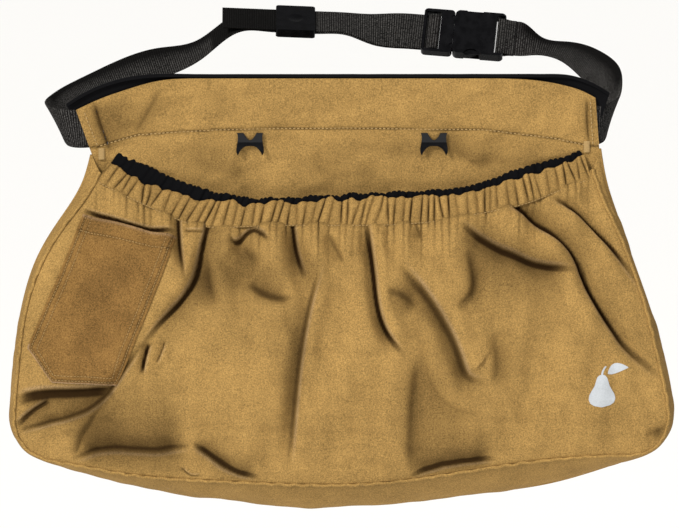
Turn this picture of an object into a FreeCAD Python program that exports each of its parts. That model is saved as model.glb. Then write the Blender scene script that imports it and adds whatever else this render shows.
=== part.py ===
import FreeCAD, Part
import math
import os

# Fruit picking bag: a canvas half-apron pouch on a webbing waist belt.
# Frame in mm: origin in the middle of the waistband's back face, X along the waistband,
# Z up, -Y away from the wearer, +Y toward the wearer.

V = FreeCAD.Vector
os.makedirs("parts", exist_ok=True)

# ---------------------------------------------------------------- driving dimensions
canvas = 1.2              # canvas thickness
web_width = 38.0          # belt webbing
web_thick = 1.5
panel_front = -5.2        # front face of the back panel
belt_layer = -2.65        # middle of the webbing inside the waistband tunnel
waist_top = 27.0          # top edge of the canvas waistband
facing_top = 30.0         # the facing stands a little higher
belly = 25.0              # how far the filled front swells past its seams
gusset_swell = 12.0       # how far the gusset swells past its seams
casing_swell = 3.0
casing_thick = 1.8
elastic_thick = 1.4
elastic_depth = 2.4       # the elastic lies this far behind the casing's front
elastic_rise = 5.0        # the elastic stands this much above the canvas edge
pocket_swell = 6.5

buckle_length = 80.0      # male and female clipped together
buckle_half = 23.5
keeper_length = 38.0
hook_width = 25.0
hook_height = 21.0
hook_spacing = 175.0
hook_metal = 1.4
hook_bar_radius = 0.85

# ---------------------------------------------------------------- helpers


def through(points):
    curve = Part.BSplineCurve()
    curve.interpolate([V(*p) for p in points])
    return curve


def at(curve, t):
    first, last = curve.FirstParameter, curve.LastParameter
    return curve.value(first + (last - first) * t)


def save(name, shape):
    shape.exportStep("parts/" + name + ".step")
    print(name, shape.ShapeType, "valid" if shape.isValid() else "NOT VALID", round(shape.Volume))


def surface(grid):
    face = Part.BSplineSurface()
    face.interpolate(grid)
    return face


def between(front, back):
    """Closed solid between two grids of points."""
    one, two = surface(front), surface(back)
    faces = [one.toShape(), two.toShape()]
    u0, u1, v0, v1 = one.bounds()
    p0, p1, q0, q1 = two.bounds()
    rims = [(one.uIso(u0), two.uIso(p0)), (one.uIso(u1), two.uIso(p1))]
    rims += [(one.vIso(v0), two.vIso(q0)), (one.vIso(v1), two.vIso(q1))]
    for first, second in rims:
        faces.append(Part.makeRuledSurface(first.toShape(), second.toShape()))
    shell = Part.makeShell(faces)
    shell.sewShape()
    solid = Part.makeSolid(Part.makeShell(shell.Faces))
    solid.fix(0.001, 0.001, 0.001)
    if solid.Volume < 0:
        solid.reverse()
    return solid


def sheet(place, across, down, near, far):
    """Sheet of cloth on place(a, b); near and far are its two faces, measured toward the wearer."""
    step = 0.004
    grids = [[], []]
    for i in range(across + 1):
        rows = [[], []]
        for j in range(down + 1):
            a, b = i / across, j / down
            da = place(min(1, a + step), b) - place(max(0, a - step), b)
            db = place(a, min(1, b + step)) - place(a, max(0, b - step))
            normal = da.cross(db)
            normal.normalize()
            for k in range(2):
                depth = (near, far)[k]
                if callable(depth):
                    depth = depth(a, b)
                rows[k].append(place(a, b) + normal * depth)
        for k in range(2):
            grids[k].append(rows[k])
    return between(grids[0], grids[1])


def ribbon(lows, highs, thick):
    """Webbing through pairs of lower and upper edge points."""
    corners = [[], [], [], []]
    count = len(lows)
    for i in range(count):
        after, before = min(count - 1, i + 1), max(0, i - 1)
        along = lows[after] + highs[after] - lows[before] - highs[before]
        side = along.cross(highs[i] - lows[i])
        side.normalize()
        side = side * (thick / 2)
        for k, corner in enumerate((lows[i] - side, highs[i] - side, highs[i] + side, lows[i] + side)):
            corners[k].append(corner)
    curves = [through(line) for line in corners]
    faces = []
    start = 0
    while start < count - 1:
        stop = count - 1 if count - 1 - start < 36 else start + 24
        edges = []
        for curve in curves:
            length = curve.copy()
            length.segment(curve.getKnot(start + 1), curve.getKnot(stop + 1))
            edges.append(length.toShape())
        faces += [Part.makeRuledSurface(edges[k], edges[(k + 1) % 4], 1) for k in range(4)]
        start = stop
    for end in (0, -1):
        rim = [corners[k][end] for k in range(4)]
        faces.append(Part.Face(Part.makePolygon(rim + [rim[0]])))
    shell = Part.makeShell(faces)
    shell.sewShape()
    solid = Part.makeSolid(Part.makeShell(shell.Faces))
    solid.fix(0.001, 0.001, 0.001)
    if solid.Volume < 0:
        solid.reverse()
    return solid


def only(shape):
    """The single solid inside a boolean's result."""
    if len(shape.Solids) != 1:
        print("expected one solid, found", len(shape.Solids))
    return shape.Solids[0]


def edges_of(low_points, high_points, count):
    """Evenly spread edge points along a strap given by a few of them."""
    low, high = through(low_points), through(high_points)
    return ([at(low, i / (count - 1)) for i in range(count)],
            [at(high, i / (count - 1)) for i in range(count)])


def prism(points, direction):
    corners = [V(*p) for p in points]
    return Part.Face(Part.makePolygon(corners + [corners[0]])).extrude(V(*direction))


def rounded_box(x0, x1, y0, y1, z0, z1, radius, axis):
    """Box whose edges along one axis are rounded."""
    box = Part.makeBox(x1 - x0, y1 - y0, z1 - z0, V(x0, y0, z0))
    chosen = []
    for edge in box.Edges:
        ends = edge.Vertexes[1].Point - edge.Vertexes[0].Point
        if abs(ends[axis]) > 1e-6:
            chosen.append(edge)
    return box.makeFillet(radius, chosen)


# ---------------------------------------------------------------- outlines of the pouch
# Edge of the back panel and seam of the front panel, left mouth end round the bottom to the right.
back_edge = [(-238, -48), (-246, -75), (-270, -115), (-290, -150), (-303, -190), (-311, -235),
             (-315, -280), (-313, -312), (-297, -337), (-262, -352), (-205, -368), (-120, -385),
             (-40, -392), (40, -390), (120, -383), (200, -372), (262, -353), (299, -334),
             (314, -306), (313, -275), (303, -232), (290, -190), (276, -150), (264, -115),
             (251, -75), (245, -42)]
front_edge = [(-230, -13, -63), (-241, -20, -82), (-265, -33, -112), (-286, -44, -146),
              (-300, -54, -186), (-307, -64, -232), (-311, -72, -276), (-309, -77, -304),
              (-295, -80, -321), (-258, -81, -332), (-205, -84, -341), (-120, -87, -347),
              (-40, -89, -350), (40, -89, -348), (120, -87, -337), (200, -82, -327),
              (262, -79, -324), (296, -76, -318), (309, -73, -298), (308, -68, -268),
              (299, -60, -228), (288, -51, -185), (276, -43, -150), (262, -32, -116),
              (248, -21, -88), (238, -12, -60)]
mouth_edge = [(-223, -9, -53), (-192, -16, -70), (-162, -22, -80), (-119, -26, -88),
              (-36, -27, -88), (68, -27, -83), (130, -24, -78), (163, -20, -68),
              (204, -14, -57), (232, -8, -46)]
casing_seam = [(-236, -15, -71), (-214, -22, -81), (-183, -29, -94), (-135, -35, -111),
               (-88, -37, -111), (-2, -37, -110), (55, -37, -109), (97, -36, -105),
               (142, -34, -97), (173, -30, -91), (200, -24, -82), (239, -15, -69)]

# ---------------------------------------------------------------- waistband and back panel
straight_left, straight_right = -140, 150      # where the waistband's top edge runs level


def back_outline(depth):
    top_left = through([(-253, depth, -4), (-230, depth, 7), (-205, depth, 16),
                        (-172, depth, 25), (straight_left, depth, waist_top)])
    top_right = through([(straight_right, depth, waist_top), (185, depth, 25), (212, depth, 20),
                         (230, depth, 14), (241, depth, 8)])
    low = through([(x, depth, z) for x, z in back_edge])
    start = V(back_edge[0][0], depth, back_edge[0][1])
    end = V(back_edge[-1][0], depth, back_edge[-1][1])
    edges = [top_left.toShape(),
             Part.makeLine(V(straight_left, depth, waist_top), V(straight_right, depth, waist_top)),
             top_right.toShape(),
             Part.makeLine(V(241, depth, 8), end),
             low.toShape(),
             Part.makeLine(start, V(-253, depth, -4))]
    return Part.Face(Part.Wire(Part.__sortEdges__(edges)))


back_panel = back_outline(panel_front).extrude(V(0, canvas, 0))

hook_axis = V(0, -3.0, -27.0)
hook_middles = [-hook_spacing / 2, hook_spacing / 2]
ear_middle, ear_wide = 8.5, 7.8                # each hook's two ears, from the hook's middle
slit_room, slit_height = 0.5, 5.0
for middle in hook_middles:
    for side in (-1, 1):
        x0 = middle + side * ear_middle - ear_wide / 2 - slit_room
        slit = Part.makeBox(ear_wide + 2 * slit_room, 6, slit_height, V(x0, -8, -29.4))
        back_panel = back_panel.cut(slit)
save("back_panel", only(back_panel))

facing_edges = [through([(-240, 0, 10), (-222, 0, 19), (-180, 0, 29), (-140, 0, facing_top)]).toShape(),
                Part.makeLine(V(-140, 0, facing_top), V(200, 0, facing_top)),
                through([(200, 0, facing_top), (220, 0, 28.5), (234, 0, 22)]).toShape(),
                Part.makeLine(V(234, 0, 22), V(237, 0, -44)),
                through([(237, 0, -44), (200, 0, -36), (120, 0, -32), (-120, 0, -32),
                         (-200, 0, -37), (-236, 0, -44)]).toShape(),
                Part.makeLine(V(-236, 0, -44), V(-240, 0, 10))]
facing = Part.Face(Part.Wire(Part.__sortEdges__(facing_edges))).extrude(V(0, -canvas, 0))
save("waistband_facing", facing)

# ---------------------------------------------------------------- front panel
left_seam = through(front_edge[1:9])
bottom_seam = through(front_edge[8:18])
right_seam = through(list(reversed(front_edge[17:25])))
top_seam = through([front_edge[1]] + [(x, y - 0.8, z - 2.5) for x, y, z in casing_seam[1:-1]]
                   + [front_edge[24]])


def front_place(a, b):
    top, bottom = at(top_seam, a), at(bottom_seam, a)
    left, right = at(left_seam, b), at(right_seam, b)
    corners = ((top_seam.value(top_seam.FirstParameter) * (1 - a)
                + top_seam.value(top_seam.LastParameter) * a) * (1 - b)
               + (bottom_seam.value(bottom_seam.FirstParameter) * (1 - a)
                  + bottom_seam.value(bottom_seam.LastParameter) * a) * b)
    spot = top * (1 - b) + bottom * b + left * (1 - a) + right * a - corners
    swell = belly * math.sin(math.pi * a) ** 0.75 * math.sin(math.pi * b) ** 0.85
    return spot - V(0, swell, 0)


save("front_panel", sheet(front_place, 22, 12, 0, canvas))

# ---------------------------------------------------------------- gusset
back_rim = through([(x * 0.992, panel_front - 1.0, z + (2.5 if z < -300 else 0)) for x, z in back_edge])
front_rim = through([(x * 0.998, y + 2.6, z) for x, y, z in front_edge])


def gusset_place(a, b):
    back, front = at(back_rim, a), at(front_rim, a)
    ahead, behind = at(back_rim, min(1, a + 0.01)), at(back_rim, max(0, a - 0.01))
    outward = (ahead - behind).cross(V(0, -1, 0))
    outward.normalize()
    swell = gusset_swell * (0.35 + 0.65 * math.sin(math.pi * a) ** 2) * 4 * b * (1 - b)
    swell = swell * min(1, 12 * a + 0.1, 12 * (1 - a) + 0.1)
    return back * (1 - b) + front * b + outward * swell


save("side_bottom_gusset", sheet(gusset_place, 50, 6, 0, canvas))

# ---------------------------------------------------------------- gathered mouth
mouth_curve, seam_curve = through(mouth_edge), through(casing_seam)


def casing_place(a, b):
    a = 0.015 + 0.97 * a
    spot = at(mouth_curve, a) * (1 - b) + at(seam_curve, a) * b
    return spot - V(0, casing_swell * 4 * b * (1 - b), 0)


def elastic_place(a, b):
    a = 0.03 + 0.94 * a
    spot = at(mouth_curve, a) * (1 - b) + at(seam_curve, a) * b
    upward = at(mouth_curve, a) - at(seam_curve, a)
    upward.normalize()
    lift = (elastic_rise * (1 - b) + 3.0 * b) * min(1, 10 * a, 10 * (1 - a))
    return spot + upward * lift


save("elastic_casing", sheet(casing_place, 26, 4, 0, casing_thick))
save("elastic_band", sheet(elastic_place, 26, 4, elastic_depth, elastic_depth + elastic_thick))

# ---------------------------------------------------------------- patch pocket
pocket_corners = [(-246, -100), (-157, -119), (-214, -254), (-275, -253), (-299, -222)]
pocket_top, pocket_drop = -100, 155
pocket_gap = 0.9


def pocket_place(a, b):
    return front_place(a * 0.30, b * 0.80)


def pocket_room(a, b):
    """Room between the pocket and the front panel: widest in the middle of its mouth."""
    spot = pocket_place(a, b)
    down = min(1, max(0, (pocket_top - spot.z) / pocket_drop))
    left = -246 - 56 * down
    right = -157 - 57 * down
    over = min(1, max(0, (spot.x - left) / (right - left)))
    return pocket_gap + pocket_swell * 4 * over * (1 - over) * math.cos(down * math.pi / 2)


pocket = sheet(pocket_place, 12, 12, lambda a, b: -pocket_room(a, b) - canvas,
               lambda a, b: -pocket_room(a, b))
pocket = pocket.common(prism([(x, -200, z) for x, z in pocket_corners], (0, 200, 0)))
save("pocket", only(pocket))

# ---------------------------------------------------------------- thread bars at the mouth ends
save("bartack_left", only(rounded_box(-233, -226, -6.9, -5.5, -52, -41, 0.6, 1)))
save("bartack_right", only(rounded_box(229, 236, -6.9, -5.5, -45, -34, 0.6, 1)))

# ---------------------------------------------------------------- belt
# The belt's rear half leans outward; where the keeper sits it runs straight.
keeper_along = V(97, 2, -4.5)
keeper_along.normalize()
keeper_wide = V(0, 0.956, 0.292)
keeper_wide = keeper_wide - keeper_along * keeper_wide.dot(keeper_along)
keeper_wide.normalize()
keeper_up = keeper_along.cross(keeper_wide)
straight_start = V(-94, 168, 32)
straight_length = 97.0

buckle_middle = V(118, 173.8, 26.8)
buckle_along = V(68.5, -6, -4.2)
buckle_along.normalize()
buckle_wide = V(0, 0.68, 0.73)
buckle_wide = buckle_wide - buckle_along * buckle_wide.dot(buckle_along)
buckle_wide.normalize()
buckle_up = buckle_along.cross(buckle_wide)

strap_below = -3.35       # the belt under the buckle's ladder bars
strap_above = -1.0        # its tail coming back out
tail_offset = strap_above - strap_below
strap_entry = -44.0


def on_buckle(u, v, w):
    return buckle_middle + buckle_along * u + buckle_wide * v + buckle_up * w


tunnel_low = [(238, belt_layer, -38), (200, belt_layer, -31), (150, belt_layer, -22),
              (100, belt_layer, -16), (0, belt_layer, -13), (-100, belt_layer, -17),
              (-150, belt_layer, -24), (-200, belt_layer, -34), (-238, belt_layer, -41)]
left_low = [(-252, -0.6, -42), (-261, 8, -42), (-264.5, 22, -40), (-265, 40, -36), (-263, 62, -29),
            (-256, 90, -21), (-230.5, 118, -18.8), (-168.6, 150, -8.7), (-135, 160, 6.4)]
left_high = [(-256, -1.5, -4.5), (-272, 6, -5), (-280, 20, -6), (-284, 44, -8), (-281, 78, -11),
             (-268, 120, -12), (-241, 152, -5.6), (-178, 180.6, 11.7), (-141, 197, 15)]
lows = [V(*p) for p in tunnel_low + left_low]
highs = [V(x, y, z + web_width) for x, y, z in tunnel_low] + [V(*p) for p in left_high]
for step in (0, 24, 48, 72, straight_length):
    low = straight_start + keeper_along * step
    lows.append(low)
    highs.append(low + keeper_wide * web_width)
for low, high in (((28.6, 168.8, 18), (29, 199, 39.5)), ((52, 168.6, 14.3), (54.5, 194, 42))):
    lows.append(V(*low))
    highs.append(V(*high))
for u in (strap_entry - 5, strap_entry):
    lows.append(on_buckle(u, -web_width / 2, strap_below))
    highs.append(on_buckle(u, web_width / 2, strap_below))

# The belt turns up through the inner slot, over the middle bar and down through the outer slot.
ladder_path = [(-41, strap_below), (-37, strap_below), (-33, strap_below), (-29.5, -3.35), (-27.2, -3.1),
               (-25.6, -2.4), (-24.6, -1.2), (-24.3, 0.1), (-24.9, 1.5), (-26.4, 2.5), (-28.2, 2.8),
               (-30.0, 2.8), (-31.8, 2.4), (-33.1, 1.3), (-34.2, 0.1), (-35.6, -0.7), (-37.4, strap_above),
               (-40, strap_above), (strap_entry, strap_above)]
low_line, high_line = edges_of(lows, highs, 90)
for u, w in ladder_path:
    low_line.append(on_buckle(u, -web_width / 2, w))
    high_line.append(on_buckle(u, web_width / 2, w))

# Tail: runs back over the belt, through the keeper, and ends free.
tail_low = [on_buckle(strap_entry, -web_width / 2, strap_above)]
tail_high = [on_buckle(strap_entry, web_width / 2, strap_above)]
for i in range(len(lows) - 2, len(lows) - 9, -1):
    along = lows[i + 1] + highs[i + 1] - lows[i - 1] - highs[i - 1]
    up = along.cross(highs[i] - lows[i])
    up.normalize()
    tail_low.append(lows[i] + up * tail_offset)
    tail_high.append(highs[i] + up * tail_offset)
for step in (-8.0, -16.0, -22.0):
    low = straight_start + keeper_along * step + keeper_up * tail_offset
    tail_low.append(low)
    tail_high.append(low + keeper_wide * web_width)
tail_a, tail_b = edges_of(tail_low, tail_high, 36)
low_line += tail_a[1:]
high_line += tail_b[1:]
save("belt_strap", ribbon(low_line, high_line, web_thick))


def band(path, half_width, thick):
    """Webbing bent round a bar of the buckle: path in (u, w)."""
    curve = through([(u, w, 0) for u, w in path])
    spots = [at(curve, i / (6 * len(path))) for i in range(6 * len(path) + 1)]
    return ribbon([on_buckle(p.x, -half_width, p.y) for p in spots],
                  [on_buckle(p.x, half_width, p.y) for p in spots], thick)


right_low = [tuple(on_buckle(50.4, -web_width / 2, 0)), tuple(on_buckle(54, -web_width / 2, 0)),
             (188, 149, 12.5), (207, 139, 11), (231, 113, -2.5), (245, 88, -11),
             (250.5, 58, -21), (252, 28, -33), (250, 10, -37.5), (246, 1.0, -38.3),
             (242, -2.2, -38.5), (238.4, belt_layer, -38.2)]
right_high = [tuple(on_buckle(50.4, web_width / 2, 0)), tuple(on_buckle(54, web_width / 2, 0)),
              (193, 184, 22), (217, 174, 19.5), (249, 139, 19), (264, 109, 14.5),
              (268.5, 73, 8), (264, 34, -1), (256, 12, -0.3), (249, 1.5, -0.3),
              (243, -2.1, -0.4), (238.4, belt_layer, -0.2)]
ra, rb = edges_of(right_low, right_high, 44)
save("belt_right", ribbon(ra, rb, web_thick))

loop_half = [(50, 0.95), (48, 0.95), (46, 1.05), (43.5, 1.6), (41, 2.6), (38.5, 3.2), (36.2, 3.2),
             (34.2, 3.0), (32.9, 1.7)]
loop_path = [(u, -w) for u, w in loop_half] + [(32.6, 0)] + loop_half[::-1]
save("belt_end_loop", band(loop_path, web_width / 2, web_thick))

# ---------------------------------------------------------------- buckle, drawn in its own axes
to_belt = FreeCAD.Placement(buckle_middle, FreeCAD.Rotation(buckle_along, buckle_wide, buckle_up, "XYZ"))
half = buckle_half


def placed(shape):
    shape = shape.copy()
    shape.Placement = to_belt
    return shape


# Male half: ladder frame for the belt, shoulder, guide prong.
slot_half = 20.5          # half the length of every belt slot
frame_depth, shell_depth = 4.6, 6.0
frame = rounded_box(-40, -10, -half, half, -frame_depth, frame_depth, 4.0, 2)
frame = frame.cut(Part.makeBox(21.0, 2 * slot_half, 12, V(-44, -slot_half, -6)))
bar_a = rounded_box(-40, -36.6, -21, 21, 0.4, 3.6, 1.2, 1)
bar_b = rounded_box(-31, -27.4, -21, 21, -1.9, 1.5, 1.3, 1)
guide = rounded_box(-11, 19, -3.0, 3.0, -3.9, 3.9, 2.4, 2)
male = frame.fuse([bar_a, bar_b, guide]).removeSplitter()
prong_pivot_u, prong_pivot_v, prong_pivot_r = -10.6, 15.5, 2.6
for side in (-1, 1):
    socket = Part.makeCylinder(prong_pivot_r + 0.08, 9.4, V(prong_pivot_u, side * prong_pivot_v, -4.7))
    male = male.cut(socket)
save("buckle_male", placed(only(male)))


def prong(side):
    outline = [(-10.4, 13.2), (2.0, 14.6), (12.0, 15.6), (17.5, 17.0), (17.8, 18.4), (15.0, 21.2),
               (9.0, 23.4), (4.0, 24.2), (2.7, 24.0), (2.7, 20.6), (-4.0, 19.2), (-10.4, 17.8)]
    body = prism([(u, side * v, -3.6) for u, v in outline], (0, 0, 7.2))
    root = Part.makeCylinder(prong_pivot_r, 7.2, V(prong_pivot_u, side * prong_pivot_v, -3.6))
    return only(body.fuse(root).removeSplitter())


save("prong_upper", placed(prong(1)))
save("prong_lower", placed(prong(-1)))

# Female half: hollow shell with a window each side, then the slot and bar for the sewn loop.
shell = rounded_box(-9.6, 40, -half, half, -shell_depth, shell_depth, 5.0, 2)
shell = shell.cut(Part.makeBox(33, 43.4, 8.0, V(-10, -21.7, -4.0)))
for side in (-1, 1):
    shell = shell.cut(Part.makeBox(14.6, 8, 8.0, V(2.2, side * 24 - 4, -4.0)))
    for dish_base in (4.6, -7.6):
        shell = shell.cut(Part.makeCylinder(9, 3, V(9.5, side * 27.5, dish_base)))
for start, width, low, height in ((31.0, 3.6, -7, 14), (38.8, 8, -7, 14), (33.6, 6, 2.1, 8),
                                  (33.6, 6, -10.1, 8)):
    shell = shell.cut(Part.makeBox(width, 2 * slot_half, height, V(start, -slot_half, low)))
save("buckle_female", placed(only(shell)))

# Keeper: sleeve over the belt and its tail.
keeper_middle = straight_start + keeper_along * 49 + keeper_wide * (web_width / 2)
keeper = rounded_box(-keeper_length / 2, keeper_length / 2, -23, 23, -3.2, 5.6, 3.0, 2)
keeper = keeper.cut(Part.makeBox(60, 40.0, tail_offset + web_thick + 1.6,
                                 V(-30, -20.0, -web_thick / 2 - 0.8)))
keeper = keeper.cut(Part.makeSphere(30, V(0, 0, 34.7)))
keeper.Placement = FreeCAD.Placement(keeper_middle,
                                     FreeCAD.Rotation(keeper_along, keeper_wide, keeper_up, "XYZ"))
save("strap_keeper", only(keeper))

# ---------------------------------------------------------------- hooks
plate_back = -7.2
neck_wide = 6.0
curl_radius = 1.5
bar_play = 0.05
hook_bar_half = 16.0


def bar(radius, half_length):
    start = V(-half_length, hook_axis.y, hook_axis.z)
    return Part.makeCylinder(radius, 2 * half_length, start, V(1, 0, 0))


def hook(middle):
    """Sheet-metal hook: two ears curled round the bar, a notch, an arch and two bent-out points."""
    top, tip = hook_axis.z + 1.4, hook_axis.z + 1.4 - hook_height
    w = hook_width / 2
    notch = through([(-w + 6.4, 0, top), (-3.4, 0, top - 4.6), (0, 0, top - 7.0),
                     (3.4, 0, top - 4.6), (w - 6.4, 0, top)]).toShape()
    right = through([(w, 0, top), (w - 0.9, 0, top - 4.5), (w - 0.1, 0, top - 11),
                     (w + 0.6, 0, top - 17), (w - 1.2, 0, tip)]).toShape()
    left = through([(-w + 1.2, 0, tip), (-w - 0.6, 0, top - 17), (-w + 0.1, 0, top - 11),
                    (-w + 0.9, 0, top - 4.5), (-w, 0, top)]).toShape()
    arch = through([(w - 1.2, 0, tip), (w - 4.2, 0, top - 15.4), (5.0, 0, top - 13.0),
                    (0, 0, top - 12.3), (-5.0, 0, top - 13.0), (-w + 4.2, 0, top - 15.4),
                    (-w + 1.2, 0, tip)]).toShape()
    tops = [Part.makeLine(V(-w, 0, top), V(-w + 6.4, 0, top)),
            Part.makeLine(V(w - 6.4, 0, top), V(w, 0, top))]
    wire = Part.Wire(Part.__sortEdges__(tops + [notch, right, left, arch]))
    blank = Part.Face(wire).extrude(V(0, 40, 0))
    blank.translate(V(0, -25, 0))
    face = plate_back - hook_metal
    profile = [(face, top + 1), (face, top - 9), (face - 1.2, top - 12.5), (face - 3.4, top - 16.5),
               (face - 4.6, top - 22), (face - 4.6 + hook_metal, top - 22.3),
               (face - 3.4 + hook_metal, top - 17.2), (plate_back - 1.2, top - 13.2),
               (plate_back, top - 9.6), (plate_back, top + 1)]
    bent = prism([(-30, y, z) for y, z in profile], (60, 0, 0))
    metal = blank.common(bent)
    for x0 in (-12.0, 6.0):
        neck = Part.makeBox(neck_wide, abs(plate_back - hook_axis.y) + 0.6, 1.3,
                            V(x0, plate_back - 0.6, hook_axis.z - 0.65))
        curl = Part.makeCylinder(curl_radius, neck_wide, V(x0, hook_axis.y, hook_axis.z), V(1, 0, 0))
        metal = metal.fuse(neck.fuse(curl))
    metal = metal.cut(bar(hook_bar_radius + bar_play, 20))
    metal = metal.removeSplitter()
    metal.translate(V(middle, 0, 0))
    return only(metal)


for name, middle in (("left", hook_middles[0]), ("right", hook_middles[1])):
    save("hook_" + name, hook(middle))
    rod = bar(hook_bar_radius, hook_bar_half)
    rod.translate(V(middle, 0, 0))
    save("hook_bar_" + name, rod)
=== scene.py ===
import math
import bpy
import numpy as np
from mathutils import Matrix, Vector


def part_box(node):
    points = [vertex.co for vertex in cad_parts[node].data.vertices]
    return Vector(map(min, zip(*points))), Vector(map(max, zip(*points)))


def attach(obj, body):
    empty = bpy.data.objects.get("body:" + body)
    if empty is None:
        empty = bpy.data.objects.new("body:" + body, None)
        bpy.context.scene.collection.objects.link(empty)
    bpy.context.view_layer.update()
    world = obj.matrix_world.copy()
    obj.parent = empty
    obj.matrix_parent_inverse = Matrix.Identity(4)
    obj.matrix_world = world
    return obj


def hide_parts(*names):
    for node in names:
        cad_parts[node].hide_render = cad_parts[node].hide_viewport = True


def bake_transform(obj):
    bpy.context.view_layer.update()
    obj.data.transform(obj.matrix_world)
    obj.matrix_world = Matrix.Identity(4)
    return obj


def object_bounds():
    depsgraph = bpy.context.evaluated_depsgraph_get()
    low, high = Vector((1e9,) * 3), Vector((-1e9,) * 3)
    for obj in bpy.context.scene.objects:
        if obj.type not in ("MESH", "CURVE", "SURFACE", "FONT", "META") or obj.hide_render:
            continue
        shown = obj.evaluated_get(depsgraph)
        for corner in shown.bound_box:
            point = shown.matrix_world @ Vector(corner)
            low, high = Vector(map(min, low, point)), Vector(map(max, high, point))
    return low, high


bl_info = {
    "name": "Picking Bag Builder",
    "version": (1, 0, 0),
    "blender": (4, 5, 0),
    "location": "3D View > Sidebar > Picking Bag",
    "description": "Canvas picking bag with a gathered mouth, a patch pocket and a webbing waist belt",
    "category": "Add Mesh",
}

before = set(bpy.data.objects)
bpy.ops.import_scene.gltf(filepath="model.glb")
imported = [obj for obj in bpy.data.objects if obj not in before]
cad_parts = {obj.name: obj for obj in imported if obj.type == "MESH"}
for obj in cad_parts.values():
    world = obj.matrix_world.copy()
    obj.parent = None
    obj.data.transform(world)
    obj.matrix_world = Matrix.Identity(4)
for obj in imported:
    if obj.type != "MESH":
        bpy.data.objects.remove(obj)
cad_low, cad_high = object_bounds()

# ------------------------------------------------------------------ outlines of the pouch, in mm
MM = 0.001
CANVAS = 1.2  # thickness of the canvas
PANEL_FRONT = -5.2  # front face of the back panel
BELT_LAYER = -2.65  # middle of the belt inside the waistband's tunnel
WEB_WIDTH = 38.0
WEB_THICK = 1.5
RIB_PITCH, RIB_STEP = 2.2, 0.55  # the webbing's ribs, and the rings that shape them
PANEL_SPAN, PANEL_DROP = 560, 240  # front panel, rim to rim and mouth to bottom
GUSSET_RUN, GUSSET_DEEP = 1180, 90
POCKET_WIDE, POCKET_DEEP, POCKET_HEM = 80, 150, 13.0
POCKET_SEAMS = (3.0, 8.0)  # the two rows of stitches, in from the pocket's edge
SEAM_RADIUS, SEAM_STEP = 1.9, 1.6

BACK_EDGE = [(-238, -48), (-246, -75), (-270, -115), (-290, -150), (-303, -190), (-311, -235),
             (-315, -280), (-313, -312), (-297, -337), (-262, -352), (-205, -368), (-120, -385),
             (-40, -392), (40, -390), (120, -383), (200, -372), (262, -353), (299, -334),
             (314, -306), (313, -275), (303, -232), (290, -190), (276, -150), (264, -115),
             (251, -75), (245, -42)]
FRONT_EDGE = [(-230, -13, -63), (-241, -20, -82), (-265, -33, -112), (-286, -44, -146),
              (-300, -54, -186), (-307, -64, -232), (-311, -72, -276), (-309, -77, -304),
              (-295, -80, -321), (-258, -81, -332), (-205, -84, -341), (-120, -87, -347),
              (-40, -89, -350), (40, -89, -348), (120, -87, -337), (200, -82, -327),
              (262, -79, -324), (296, -76, -318), (309, -73, -298), (308, -68, -268),
              (299, -60, -228), (288, -51, -185), (276, -43, -150), (262, -32, -116),
              (248, -21, -88), (238, -12, -60)]
MOUTH_EDGE = [(-223, -9, -53), (-192, -16, -70), (-162, -22, -80), (-119, -26, -88),
              (-36, -27, -88), (68, -27, -83), (130, -24, -78), (163, -20, -68),
              (204, -14, -57), (232, -8, -46)]
CASING_SEAM = [(-236, -15, -71), (-214, -22, -81), (-183, -29, -94), (-135, -35, -111),
               (-88, -37, -111), (-2, -37, -110), (55, -37, -109), (97, -36, -105),
               (142, -34, -97), (173, -30, -91), (200, -24, -82), (239, -15, -69)]
WAIST_LEFT = [(-253, -4), (-230, 7), (-205, 16), (-172, 25), (-140, 27)]
WAIST_RIGHT = [(150, 27), (185, 25), (212, 20), (230, 14), (241, 8)]
POCKET = {"top_left": (-246, -100), "top_right": (-157, -119), "low_right": (-214, -254),
          "low_left": (-275, -253), "cut_left": (-299, -222)}


def fold(line, depth, width, lip=0.0, dark=0.0, side_shade=0.0, spread=10.0, flip=False, fade="both"):
    """One pleat or soft fold of the front, along a line in (x, z). Its lip lies to the line's left and its
    shaded side to the right, or the other way when flipped; it fades at its end or at both. Dark sets a
    painted shade line in its groove, side_shade a painted shade patch beside it as wide as spread, and a
    dark line also gets a painted highlight along its lip."""
    return {"line": line, "depth": depth, "width": width, "lip": lip, "dark": dark, "side_shade": side_shade,
            "spread": spread, "flip": flip, "fade": fade}


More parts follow.
